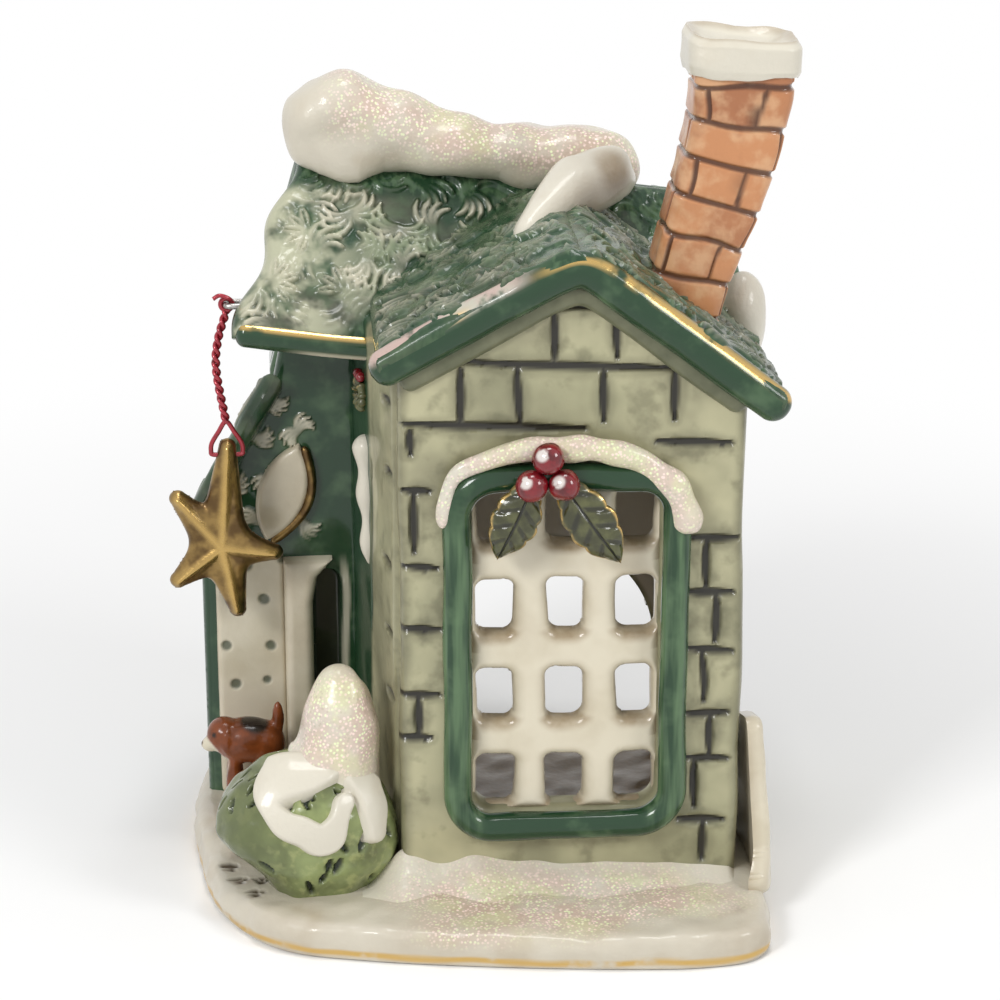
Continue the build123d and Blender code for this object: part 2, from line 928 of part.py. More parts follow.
with BuildPart() as door_pier:
    with BuildSketch(front_plane(door_y)):
        with BuildLine():
            pier_right_x = pier_left_x + pier_width
            pier_top_z = base_top + pier_height
            Polyline(
                (pier_right_x + pier_flare, pier_top_z),
                (pier_left_x, pier_top_z),
                (pier_left_x, base_top),
                (pier_right_x, base_top),
                (pier_right_x, pier_top_z - pier_flare_height),
            )
            ThreePointArc(
                (pier_right_x, pier_top_z - pier_flare_height),
                (pier_right_x + pier_flare / 4, pier_top_z - pier_flare_height / 3),
                (pier_right_x + pier_flare, pier_top_z),
            )
        make_face()
    extrude(amount=pier_depth)

with BuildPart() as door_tympanum:
    extrude(
        pointed_leaf(
            front_plane(door_y), tympanum_x, tympanum_z, tympanum_length, tympanum_width, tympanum_lean
        ),
        amount=tympanum_thickness,
    )
    cut_by(door_panel)

with BuildPart() as tympanum_bead:
    with BuildLine(front_plane(door_y)) as bead_path:
        bead_side = Vector(cos(radians(tympanum_lean)), sin(radians(tympanum_lean)))
        bead_start = Vector(tympanum_x, tympanum_z) + bead_side * bead_radius
        bead_fall = Vector(sin(radians(tympanum_lean)), -cos(radians(tympanum_lean))) * tympanum_length
        bead_middle = bead_start + bead_fall / 2 + bead_side * (tympanum_width / 2)
        bead_end = bead_start + bead_fall
        ThreePointArc((bead_start.X, bead_start.Y), (bead_middle.X, bead_middle.Y), (bead_end.X, bead_end.Y))
    with BuildSketch(Plane(origin=bead_path.line @ 0, z_dir=bead_path.line % 0)):
        Circle(bead_radius)
    sweep()
    cut_by(porch_front_wall, door_tympanum, door_pier, door_panel)

# Wreath, bow and a streak of snow on the wing's left wall
wall_run = Vector(wing_side(front_y) - wing_side(door_y), front_y - door_y, 0).normalized()


def wing_side_plane(y, z, stand):
    """Plane on the outer face of the wing's left wall, with its sketch y upward, standing off the wall."""
    face = Plane(origin=(wing_side(y), y, z), x_dir=wall_run, z_dir=Vector(0, 0, 1).cross(wall_run) * -1)
    return face.offset(stand)


with BuildPart() as wreath_ring_coil:
    with Locations(wing_side_plane(wreath_y, wreath_z, wreath_tube / 2).location):
        Torus(wreath_ring, wreath_tube)
    cut_by(wing_left_wall)

with BuildPart() as wreath_bow:
    with Locations(wing_side_plane(wreath_y, wreath_z + wreath_ring + bow_radius, bow_radius / 2).location):
        Sphere(bow_radius)
        with Locations((bow_radius, 0, 0), (-bow_radius, 0, 0)):
            Sphere(bow_radius)
    cut_by(wing_left_wall, wreath_ring_coil)

with BuildPart() as side_wall_snow:
    extrude(
        pointed_leaf(
            wing_side_plane(streak_y, streak_z, 0), 0, streak_length / 2, streak_length, streak_width, 0
        ),
        amount=streak_thickness,
    )

# Chimney: brick stack in an S-curve, standing on the wing's right slope
with BuildPart() as chimney:
    stations = 7
    for station in range(stations):
        along = station / (stations - 1)
        ease = along * along * (3 - 2 * along)
        steer = 6 * along * (1 - along) * (chimney_top_x - chimney_foot_x)
        rise = chimney_top_z - chimney_foot_z
        stack_plane = Plane(
            origin=(
                chimney_foot_x + (chimney_top_x - chimney_foot_x) * ease,
                chimney_y,
                chimney_foot_z + rise * along,
            ),
            x_dir=(rise, 0, -steer),
            z_dir=(steer, 0, rise),
        )
        with BuildSketch(stack_plane):
            RectangleRounded(
                chimney_foot_width + (chimney_top_width - chimney_foot_width) * along,
                chimney_foot_depth + (chimney_top_depth - chimney_foot_depth) * along,
                chimney_corner,
            )
    loft()
    cut_by(wing_roof_right, wing_roof_left, wing_inside)

with BuildPart() as chimney_snow:
    with BuildSketch(Plane.XY.offset(chimney_top_z)):
        with Locations((chimney_top_x, chimney_y)):
            RectangleRounded(
                chimney_top_width + 2 * chimney_cap_rim,
                chimney_top_depth + 2 * chimney_cap_rim,
                chimney_corner + chimney_cap_rim,
            )
    extrude(amount=chimney_cap_height)
    fillet(chimney_snow.edges().group_by(Axis.Z)[-1], chimney_cap_round)
    dish_reach = chimney_top_depth / 2
    dish_radius = (dish_reach * dish_reach + chimney_dish * chimney_dish) / (2 * chimney_dish)
    with Locations(
        (chimney_top_x, chimney_y, chimney_top_z + chimney_cap_height + dish_radius - chimney_dish)
    ):
        Sphere(dish_radius, mode=Mode.SUBTRACT)

# Snow along the main ridge: X, rise over the ridge and share of the full width at each station
ridge_snow_stations = (
    (-34.0, 6.0, 0.25),
    (-31.0, 9.0, 0.7),
    (-22.0, 15.0, 1.0),
    (-11.0, 12.5, 0.95),
    (2.0, 9.0, 0.9),
    (15.0, 9.0, 0.85),
    (26.0, 10.5, 0.8),
    (32.0, 7.0, 0.55),
    (34.5, 4.0, 0.2),
)
with BuildPart() as main_ridge_snow:
    for snow_x, snow_rise, snow_share in ridge_snow_stations:
        snow_low = snow_bed * snow_share
        snow_half = (snow_rise + snow_low) / 2
        snow_z = roof_ridge(snow_x) + half_slab + snow_rise - snow_half
        with BuildSketch(
            Plane(origin=(snow_x, main_ridge_y, snow_z), x_dir=(0, 1, 0), z_dir=ridge_direction)
        ):
            Ellipse(ridge_snow_half_width * snow_share, snow_half)
    loft()
    cut_by(main_roof_front, main_roof_back, wing_roof_left, wing_roof_right)

# Snow that slides off the wing's ridge onto its left slope: point and radius at each station
wing_snow_stations = (
    ((32.0, 24.0, 127.0), 2.5),
    ((27.0, 19.0, 129.0), 5.0),
    ((21.0, 13.0, 128.0), 5.4),
    ((15.0, 8.0, 124.0), 4.2),
    ((10.5, 4.0, 120.0), 1.6),
)
with BuildPart() as wing_ridge_snow:
    slide_start = Vector(wing_snow_stations[0][0])
    slide_end = Vector(wing_snow_stations[-1][0])
    for slide_point, slide_radius in wing_snow_stations:
        with BuildSketch(Plane(origin=slide_point, x_dir=(0, 0, 1), z_dir=slide_end - slide_start)):
            Circle(slide_radius)
    loft()
    cut_by(main_roof_front, main_roof_back, wing_roof_left, wing_roof_right, main_ridge_snow, wing_inside)

with BuildPart() as right_verge_snow:
    add(
        ball(
            verge_snow_x,
            verge_snow_y,
            verge_snow_z,
            verge_snow_width / 2,
            verge_snow_depth / 2,
            verge_snow_height / 2,
        )
    )
    split(bisect_by=Plane.XY.offset(verge_snow_foot_z), keep=Keep.TOP)
    cut_by(main_roof_front, wing_roof_right, wing_inside)

# Bush and its cap of snow
with BuildPart() as bush:
    add(ball(bush_x, bush_y, bush_middle_z, bush_width / 2, bush_depth / 2, bush_height / 2))
    split(bisect_by=Plane.XY.offset(base_top), keep=Keep.TOP)
    cut_by(front_wall, wing_left_wall, front_snow_drift)

with BuildPart() as bush_snow:
    with BuildSketch(front_plane(peak_y)):
        with BuildLine():
            Spline(
                (peak_x, peak_top_z),
                (peak_x + peak_radius, peak_shoulder_z),
                (peak_x + skirt_radius, skirt_z),
                tangents=((1, 0), (1, -skirt_slope)),
            )
            Polyline((peak_x + skirt_radius, skirt_z), (peak_x, skirt_z), (peak_x, peak_top_z))
        make_face()
    revolve(axis=Axis((peak_x, peak_y, 0), (0, 0, 1)))
    cut_by(bush, front_wall, wing_left_wall)

# Puppy, standing behind the bush and looking left
with BuildPart() as puppy:
    puppy_back_z = base_top + puppy_leg_height + puppy_body_radius / 2
    puppy_chest_x = puppy_x - puppy_body_length / 2
    puppy_rump_x = puppy_x + puppy_body_length / 2
    with Locations(Location((puppy_x, puppy_y, puppy_back_z), (0, 90, 0))):
        Cylinder(puppy_body_radius, puppy_body_length)
    with Locations((puppy_chest_x, puppy_y, puppy_back_z), (puppy_rump_x, puppy_y, puppy_back_z)):
        Sphere(puppy_body_radius)
    puppy_head_x = puppy_chest_x - puppy_head_radius * 2 / 3
    with Locations((puppy_head_x, puppy_y, puppy_back_z)):
        Sphere(puppy_head_radius)
    with Locations((puppy_head_x - puppy_head_radius * 2 / 3, puppy_y, puppy_back_z - puppy_muzzle_radius)):
        Sphere(puppy_muzzle_radius)
    with Locations(
        (puppy_head_x, puppy_y - puppy_head_radius, puppy_back_z),
        (puppy_head_x, puppy_y + puppy_head_radius, puppy_back_z),
    ):
        Sphere(puppy_ear_radius)
    leg_drop = puppy_back_z - base_top
    with Locations((puppy_x, puppy_y, base_top)):
        with GridLocations(puppy_body_length, puppy_body_radius, 2, 2):
            Cylinder(puppy_leg_radius, leg_drop, align=(Align.CENTER, Align.CENTER, Align.MIN))
    with Locations((puppy_rump_x + puppy_body_radius / 2, puppy_y, puppy_back_z)):
        Cylinder(
            puppy_tail_radius,
            puppy_body_radius + puppy_tail_length / 2,
            align=(Align.CENTER, Align.CENTER, Align.MIN),
        )

# Garden panel: low slab that flares away from the wing's right wall and leans back onto it
panel_run = Vector(sin(radians(panel_flare)), -cos(radians(panel_flare)), 0)
panel_out = Vector(cos(radians(panel_flare)), sin(radians(panel_flare)), 0)
panel_up = Vector(0, 0, cos(radians(panel_lean))) - panel_out * sin(radians(panel_lean))
panel_plane = Plane(
    origin=(right_x + panel_height * tan(radians(panel_lean)), front_y + panel_length, base_top),
    x_dir=panel_run,
    z_dir=panel_run.cross(panel_up),
)
with BuildPart() as garden_panel:
    with BuildSketch(panel_plane) as panel_face:
        with BuildLine():
            Polyline(
                (0, -base_rim / 2),
                (panel_length, -base_rim / 2),
                (panel_length, panel_height),
                (0, panel_back_height),
                close=True,
            )
        make_face()
        fillet(panel_face.vertices().sort_by(Axis.Y)[2:], panel_round)
    extrude(amount=-panel_thickness)
    cut_by(base_slab, wing_right_wall)

# Staple in the roof's verge, wire hanger and star
with BuildPart() as roof_staple:
    with BuildLine(Plane.XY.offset(staple_z)) as staple_path:
        FilletPolyline(
            (staple_x + staple_depth, staple_y - staple_width / 2),
            (staple_x, staple_y - staple_width / 2),
            (staple_x, staple_y + staple_width / 2),
            (staple_x + staple_depth, staple_y + staple_width / 2),
            radius=staple_bend,
        )
    with BuildSketch(Plane(origin=staple_path.line @ 0, z_dir=staple_path.line % 0)):
        Circle(staple_radius)
    sweep()

ring_radius = staple_radius + pin_clearance + wire_radius
top_angle, top_reach = star_arms[0]
star_hole_x = star_x + (top_reach - star_hole_inset) * cos(radians(top_angle))
star_hole_z = star_z + (top_reach - star_hole_inset) * sin(radians(top_angle))
bail_half = star_tip_round + bail_gap + wire_radius
bail_top = Vector(star_hole_x, star_y, star_hole_z + bail_rise)
ring_foot = Vector(staple_x, staple_y, staple_z - ring_radius)
wire_drop = ring_foot - bail_top

with BuildPart() as hanger_wire:
    with Locations(Location((staple_x, staple_y, staple_z), (90, 0, 0))):
        Torus(ring_radius, wire_radius)
    with BuildLine() as twist_path:
        FilletPolyline(
            ring_foot,
            bail_top + wire_drop * wire_bend_high - Vector(wire_bow, 0, 0),
            bail_top + wire_drop * wire_bend_low - Vector(wire_bow, 0, 0),
            bail_top,
            radius=wire_bow,
        )
    with BuildSketch(Plane(origin=twist_path.line @ 0, z_dir=twist_path.line % 0)):
        Circle(wire_twist_radius)
    sweep(path=twist_path.line)
    with BuildLine(front_plane(star_y)) as bail_path:
        FilletPolyline(
            (star_hole_x, star_hole_z + bail_rise),
            (star_hole_x + bail_half, star_hole_z + bail_rise / 3),
            (star_hole_x + bail_half, star_hole_z),
            (star_hole_x - bail_half, star_hole_z),
            (star_hole_x - bail_half, star_hole_z + bail_rise / 3),
            (star_hole_x, star_hole_z + bail_rise),
            radius=bail_bend,
            close=False,
        )
    with BuildSketch(Plane(origin=bail_path.line @ 0, z_dir=bail_path.line % 0)):
        Circle(wire_radius)
    sweep(path=bail_path.line)
    with Locations(bail_top):
        Sphere(wire_twist_radius)


def star_arm(angle, reach):
    """Flat tapered arm of the star, from a round root at its centre to a round tip."""
    tip_reach = reach - star_tip_round
    with BuildSketch(front_plane(star_y)) as arm:
        with Locations((star_x, star_z)):
            Circle(star_root)
        with Locations((star_x + tip_reach * cos(radians(angle)), star_z + tip_reach * sin(radians(angle)))):
            Circle(star_tip_round)
        make_hull()
    return arm.sketch


# Star: arms of unequal length, with soft tips, valleys and edges
with BuildPart() as hanging_star:
    for arm_angle, arm_reach in star_arms:
        extrude(star_arm(arm_angle, arm_reach), amount=star_half, both=True)
    valley_edges = hanging_star.edges().filter_by(Axis.Y).sort_by_distance((star_x, star_y, star_z))
    fillet(valley_edges[: len(star_arms)], star_valley_round)
    fillet(hanging_star.edges().group_by(Axis.Y)[0], star_edge_round)
    fillet(hanging_star.edges().group_by(Axis.Y)[-1], star_edge_round)
    with BuildSketch(side_plane(star_hole_x)):
        with Locations((star_y, star_hole_z)):
            Circle(wire_radius + pin_clearance)
    extrude(amount=2 * bail_half, both=True, mode=Mode.SUBTRACT)

pieces = {
    "base_slab": base_slab,
    "front_snow_drift": front_snow_drift,
    "front_wall": front_wall,
    "wing_left_wall": wing_left_wall,
    "wing_right_wall": wing_right_wall,
    "right_gable_wall": right_gable_wall,
    "left_gable_wall": left_gable_wall,
    "back_wall": back_wall,
    "porch_front_wall": porch_front_wall,
    "porch_side_wall": porch_side_wall,
    "main_roof_front": main_roof_front,
    "main_roof_back": main_roof_back,
    "wing_roof_left": wing_roof_left,
    "wing_roof_right": wing_roof_right,
    "porch_roof": porch_roof,
    "window_lattice": window_lattice,
    "window_frame": window_frame,
    "window_snow": window_snow,
    "holly_leaf_left": holly_leaf_left,
    "holly_leaf_right": holly_leaf_right,
    "holly_berry_left": holly_berry_left,
    "holly_berry_right": holly_berry_right,
    "holly_berry_top": holly_berry_top,
    "door_panel": door_panel,
    "door_pier": door_pier,
    "door_tympanum": door_tympanum,
    "tympanum_bead": tympanum_bead,
    "wreath_ring": wreath_ring_coil,
    "wreath_bow": wreath_bow,
    "side_wall_snow": side_wall_snow,
    "chimney": chimney,
    "chimney_snow": chimney_snow,
    "main_ridge_snow": main_ridge_snow,
    "wing_ridge_snow": wing_ridge_snow,
    "right_verge_snow": right_verge_snow,
    "bush": bush,
    "bush_snow": bush_snow,
    "puppy": puppy,
    "garden_panel": garden_panel,
    "roof_staple": roof_staple,
    "hanger_wire": hanger_wire,
    "hanging_star": hanging_star,
}
for piece_name, piece in pieces.items():
    piece.part.label = piece_name
    export_step(piece.part, f"parts/{piece_name}.step")
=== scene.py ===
from math import cos, pi, radians, sin, tan

import bmesh
import bpy
import numpy as np
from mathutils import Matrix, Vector


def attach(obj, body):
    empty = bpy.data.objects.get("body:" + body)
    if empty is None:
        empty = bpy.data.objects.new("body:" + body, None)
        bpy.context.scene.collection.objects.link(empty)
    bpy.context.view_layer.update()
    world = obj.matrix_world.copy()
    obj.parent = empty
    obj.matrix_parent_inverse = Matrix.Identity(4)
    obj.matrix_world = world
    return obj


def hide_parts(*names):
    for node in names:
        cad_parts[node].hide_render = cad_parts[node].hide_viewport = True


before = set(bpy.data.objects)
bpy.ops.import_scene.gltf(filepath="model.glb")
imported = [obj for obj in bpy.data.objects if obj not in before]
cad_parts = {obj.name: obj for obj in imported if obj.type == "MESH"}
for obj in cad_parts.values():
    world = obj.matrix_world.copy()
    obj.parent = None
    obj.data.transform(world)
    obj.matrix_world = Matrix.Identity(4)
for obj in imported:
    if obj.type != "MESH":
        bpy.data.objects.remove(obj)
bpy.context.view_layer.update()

bl_info = {
    "name": "Ceramic Village House",
    "version": (1, 0, 0),
    "blender": (4, 5, 0),
    "location": "View3D > Sidebar > Village House",
    "description": "Models and glazes a ceramic christmas village house on its own solids",
    "category": "Add Mesh",
}

MM = 0.001

# Plan and heights of the house in millimetres, as its solids have them
FRONT_Y = -27.0
DOOR_Y = 17.0
BACK_Y = 43.0
BASE_TOP = 6.0
WING_LEFT_X = -13.5
WING_SPLAY = 7.0
RIGHT_X = 48.5
MAIN_LEFT_X = -36.0
PORCH_LEFT_X = -50.0
PORCH_SPLAY = 8.0
WALL = 5.0
WINDOW = np.array((16.4, 51.5))
WINDOW_HALF = np.array((17.0, 31.0))
RIDGE_X = 18.5
RIDGE_Z = 125.4
RIDGE_ROUND = 2.4
WING_LEFT_FALL = 0.545
WING_RIGHT_FALL = 0.772
MAIN_RIDGE_X = 3.0
MAIN_RIDGE_Y = 28.0
MAIN_RIDGE_Z = 126.6
MAIN_FRONT_FALL = 27.0 / 23.0
MAIN_BACK_FALL = 23.5 / 20.0
PORCH_TOP = 91.0
ROOF_LEAN = radians(7.0)
GABLE_LEAN = radians(14.0)
STAR = np.array((-45.7, 61.7))
STAR_Y = 6.0
HOLE = np.array((-44.194, 6.0, 79.637))
STAPLE = np.array((-43.5, 7.939, 108.0))


def measure(name, description, default):
    """Length property of the handwork, in metres."""
    return bpy.props.FloatProperty(
        name=name, description=description, default=default, unit="LENGTH", subtype="DISTANCE"
    )


class HouseSizes(bpy.types.PropertyGroup):
    """Depths of the handwork on the clay"""

    joint_depth: measure("Stone Joint Depth", "Depth of the joints between the wall's stones", 0.0009)
    joint_width: measure("Stone Joint Width", "Half width of the joints between the wall's stones", 0.0009)
    leaf_relief: measure("Roof Leaf Relief", "Height of the leaf sprays pressed on the roofs", 0.0012)
    brick_depth: measure("Brick Joint Depth", "Depth of the joints between the chimney's bricks", 0.0004)
    wire_pitch: measure("Wire Pitch", "Length of one turn of the hanger's twisted wires", 0.0034)


def paint(name, description, default):
    """Colour property of one glaze."""
    return bpy.props.FloatVectorProperty(
        name=name, description=description, default=default, size=3, subtype="COLOR", min=0.0, max=1.0
    )


class HouseColours(bpy.types.PropertyGroup):
    """Colours of the glazes"""

    sage: paint("Sage", "Pale middle of the wall's stones", (0.50, 0.475, 0.30))
    sage_shade: paint("Sage Shade", "Olive wash at the edges of the stones", (0.12, 0.115, 0.065))
    joint: paint("Joint", "Dark glaze in the incised joints", (0.03, 0.028, 0.022))
    green: paint("Green", "Dark green of porch, verge and frame", (0.016, 0.052, 0.022))
    green_light: paint("Green Light", "Thin places in the dark green", (0.13, 0.22, 0.11))
    cream: paint("Cream", "Cream of lattice, door and roof leaves", (0.72, 0.66, 0.52))
    # This colour also serves as painted shade: on the garden panel's back face and at the chimney cap's lip
    stain: paint("Stain", "Brown wash on cream", (0.27, 0.18, 0.085))
    snow: paint("Snow", "Snow glaze", (0.68, 0.64, 0.54))
    snow_shade: paint("Snow Shade", "Tan smudges on the snow", (0.46, 0.37, 0.25))
    holly: paint("Holly", "Olive bronze of the holly leaves", (0.05, 0.052, 0.02))
    red: paint("Red", "Crimson of berries and bow", (0.22, 0.010, 0.016))
    brick: paint("Brick", "Terracotta of the bricks", (0.60, 0.27, 0.12))
    brick_dark: paint("Brick Dark", "Darker bricks", (0.34, 0.13, 0.06))
    bush: paint("Bush", "Leaf green of the bush", (0.27, 0.32, 0.13))
    puppy: paint("Puppy", "Coat of the puppy", (0.22, 0.055, 0.014))
    gold: paint("Gold", "Gold lustre", (0.60, 0.40, 0.135))
    bronze: paint("Bronze", "Worn lustre", (0.12, 0.07, 0.026))
    wire: paint("Wire", "Crimson enamel of the hanger", (0.36, 0.03, 0.045))


# Surfaces: a skin is its points and its faces, in blocks of one corner count each


def ease(low, high, value):
    """Smooth step: 0 up to low, 1 from high, and the cubic 3tt - 2ttt in between."""
    t = np.clip((value - low) / (high - low), 0.0, 1.0)
    return t * t * (3.0 - 2.0 * t)


def uneven(points, size, seed):
    """Unevenness of handled clay, about -1 to 1: scaled mean of ten sine waves in fixed random directions."""
    rng = np.random.default_rng(seed)
    waves = rng.normal(size=(10, points.shape[-1])) / size
    phases = rng.uniform(0.0, 2.0 * pi, 10)
    return 2.0 * np.sin(points @ waves.T + phases).mean(-1)


def curve(knots, count, closed=False):
    """Smooth line through knots: a Catmull-Rom cubic from each knot to the next."""
    knots = np.asarray(knots, float)
    if closed:
        padded = np.vstack([knots[-1:], knots, knots[:2]])
        spot = np.linspace(0.0, len(knots), count, endpoint=False)
    else:
        padded = np.vstack([2 * knots[0] - knots[1], knots, 2 * knots[-1] - knots[-2]])
        spot = np.linspace(0.0, len(knots) - 1.0, count)
    first = np.minimum(spot.astype(int), len(padded) - 4)
    t = (spot - first)[:, None]
    a, b, c, d = (padded[first + k] for k in range(4))
    return 0.5 * (2 * b + (c - a) * t + (2 * a - 5 * b + 4 * c - d) * t**2 + (3 * b - a - 3 * c + d) * t**3)


def quads(rows, columns, round_columns=False, round_rows=False):
    """Faces of a grid, joined from its last column or row to its first where it runs round."""
    index = np.arange(rows * columns).reshape(rows, columns)
    if round_columns:
        index = np.hstack([index, index[:, :1]])
    if round_rows:
        index = np.vstack([index, index[:1]])
    corners = (index[:-1, :-1], index[:-1, 1:], index[1:, 1:], index[1:, :-1])
    return np.stack(corners, -1).reshape(-1, 4)


def loft(rings):
    """Closed skin over rings of points: quads between the rings and a fan to the middle of each end."""
    rows, columns = rings.shape[:2]
    points = np.vstack([rings.reshape(-1, 3), rings[0].mean(0), rings[-1].mean(0)])
    around = np.arange(columns)
    onward = np.roll(around, -1)
    last = (rows - 1) * columns
    start = np.column_stack([onward, around, np.full(columns, rows * columns)])
    end = np.column_stack([around + last, onward + last, np.full(columns, rows * columns + 1)])
    return points, [quads(rows, columns, True), start, end]


def coil_rings(path, radius, sides, up, squash=1.0, closed=False):
    """Rings of a rolled coil: circles across the path, squashed along the up direction."""
    path = np.asarray(path, float)
    if closed:
        run = np.roll(path, -1, 0) - np.roll(path, 1, 0)
    else:
        run = np.gradient(path, axis=0)
    side = np.cross(run, np.asarray(up, float))
    side /= np.linalg.norm(side, axis=1, keepdims=True)
    over = np.cross(side, run)
    over /= np.linalg.norm(over, axis=1, keepdims=True)
    angle = np.linspace(0.0, 2.0 * pi, sides, endpoint=False)
    reach = np.broadcast_to(np.asarray(radius, float).reshape(-1, 1), (len(path), 1))
    flat = np.cos(angle)[None, :, None] * side[:, None]
    ring = flat + squash * np.sin(angle)[None, :, None] * over[:, None]
    return path[:, None] + reach[:, :, None] * ring


def coil(path, radius, sides, up, closed=False):
    """Rolled coil along a path, with its ends closed or the path run round."""
    rings = coil_rings(path, radius, sides, up, closed=closed)
    if closed:
        return rings.reshape(-1, 3), [quads(len(rings), sides, True, True)]
    return loft(rings)


def soft_ends(count, share):
    """Radius factor that rounds both ends of a coil: a quarter circle over a share of its length."""
    spot = np.linspace(0.0, 1.0, count)
    edge = np.clip(np.minimum(spot, 1.0 - spot) / share, 0.0, 1.0)
    return np.sqrt(np.clip(1.0 - (1.0 - edge) ** 2, 0.0004, 1.0))


def lobe(centre, radii, rows=28, columns=40):
    """Ellipsoid: radii times cos(lat)cos(lon), cos(lat)sin(lon) and sin(lat)."""
    lat = np.linspace(-pi / 2 + 0.02, pi / 2 - 0.02, rows)[:, None]
    lon = np.linspace(0.0, 2.0 * pi, columns, endpoint=False)[None, :]
    ball = np.stack([np.cos(lat) * np.cos(lon), np.cos(lat) * np.sin(lon), np.sin(lat) + 0.0 * lon], -1)
    return np.asarray(centre) + ball * np.asarray(radii)


def join(*skins):
    """One skin out of several, the corners of each counted on from the points before it."""
    starts = np.cumsum([0] + [len(points) for points, _ in skins])
    blocks = [block + first for first, (_, faces) in zip(starts, skins) for block in faces]
    return np.vstack([points for points, _ in skins]), blocks


def thick(front, back, faces):
    """Closed slab: a front sheet, a back sheet of the same points and a strip round every open edge."""
    count = len(front)
    edges = np.concatenate([faces[:, [k, (k + 1) % 4]] for k in range(4)])
    order = np.sort(edges, 1) @ np.array([count, 1])
    _, place, uses = np.unique(order, return_index=True, return_counts=True)
    rim = edges[place[uses == 1]]
    strip = np.column_stack([rim[:, 1], rim[:, 0], rim[:, 0] + count, rim[:, 1] + count])
    return np.vstack([front, back]), [np.vstack([faces, faces[:, ::-1] + count, strip])]


def sheet(outline, low, high, step):
    """Flat grid cut to an outline: kept where the signed distance is below 0, near points moved onto it."""
    across = np.linspace(low[0], high[0], 2 + int((high[0] - low[0]) / step))
    up = np.linspace(low[1], high[1], 2 + int((high[1] - low[1]) / step))
    flat = np.stack(np.meshgrid(across, up), -1).reshape(-1, 2)
    away = outline(flat)
    tick = 1e-3
    slope = np.stack([outline(flat + k) - outline(flat - k) for k in np.eye(2) * tick], -1)
    slope /= np.maximum(np.linalg.norm(slope, axis=1, keepdims=True), 1e-9)
    near = np.abs(away) < 0.62 * step
    flat[near] -= (away[:, None] * slope)[near]
    faces = quads(len(up), len(across))
    faces = faces[outline(flat[faces].mean(1)) < 0.0]
    used, faces = np.unique(faces, return_inverse=True)
    flat = flat[used]
    return flat, np.maximum(-outline(flat), 0.0), faces.reshape(-1, 4)


def box_distance(flat, centre, half, corner):
    """Signed distance to a rectangle with rounded corners."""
    away = np.abs(flat - centre) - (np.asarray(half) - corner)
    return np.linalg.norm(np.maximum(away, 0.0), axis=-1) + np.minimum(away.max(-1), 0.0) - corner


def stroke_distance(flat, strokes):
    """Distance from each point to each straight stroke, and how far along it the nearest spot lies."""
    start, run = strokes[:, :2], strokes[:, 2:] - strokes[:, :2]
    gap = flat[:, None] - start[None]
    along = np.clip((gap * run).sum(-1) / np.maximum((run * run).sum(-1), 1e-9), 0.0, 1.0)
    return np.linalg.norm(gap - along[..., None] * run, axis=-1), along


def polygon_distance(flat, corners):
    """Signed distance to a polygon's nearest side, below 0 where a level ray crosses an odd number."""
    start = np.asarray(corners, float)
    end = np.roll(start, -1, 0)
    away = stroke_distance(flat, np.hstack([start, end]))[0].min(1)
    x, y = flat[:, :1], flat[:, 1:]
    spans = (start[:, 1] > y) != (end[:, 1] > y)
    rise = np.where(end[:, 1] == start[:, 1], 1.0, end[:, 1] - start[:, 1])
    cross = spans & (x < start[:, 0] + (end[:, 0] - start[:, 0]) * (y - start[:, 1]) / rise)
    return np.where(cross.sum(1) % 2 == 1, -away, away)


def polygon(*corners):
    """Outline of a polygon, as its signed distance."""
    return lambda flat: polygon_distance(flat, corners)


def oval_distance(flat, start, tip, width):
    """Signed distance to a pointed oval: the farther of two equal circles through its ends."""
    start, tip = np.asarray(start, float), np.asarray(tip, float)
    half = np.linalg.norm(tip - start) / 2
    radius = (half * half + width * width / 4) / width
    side = np.array((tip[1] - start[1], start[0] - tip[0])) / (2 * half)
    middle = (start + tip) / 2
    shift = radius - width / 2
    return np.maximum(
        np.linalg.norm(flat - middle - shift * side, axis=-1),
        np.linalg.norm(flat - middle + shift * side, axis=-1),
    ) - radius


def incised(flat, strokes, half_width, seed):
    """Strokes drawn by hand, 0 to 1: full near their lines, swelling in the middle, wavering a little."""
    strokes = np.asarray(strokes, float)
    waver = np.stack([uneven(flat, 2.6, seed), uneven(flat, 2.6, seed + 1)], -1)
    away, along = stroke_distance(flat + 0.3 * waver, strokes)
    reach = half_width * (0.6 + 0.5 * np.sin(pi * np.clip(along, 0.04, 0.96)))
    return ease(1.15, 0.55, away / reach).max(1)


def courses(low, high, height, length, seed):
    """Strokes of a stone wall: level joints at every course, and uprights staggered from course to course."""
    rng = np.random.default_rng(seed)
    strokes = []
    levels = np.arange(low[1] + height, high[1], height)
    for row, level in enumerate(levels):
        spots = np.arange(low[0] + length * (0.35 + 0.5 * (row % 2)), high[0], length)
        spots = spots + rng.uniform(-1.6, 1.6)
        for spot in spots:
            tilt = rng.uniform(-0.6, 0.6)
            strokes.append((spot, level, spot + tilt, level - height * rng.uniform(0.7, 1.0)))
            strokes.append((spot - length * 0.55, level, spot + length * rng.uniform(0.1, 0.5),
                            level + tilt))
    return np.array(strokes)


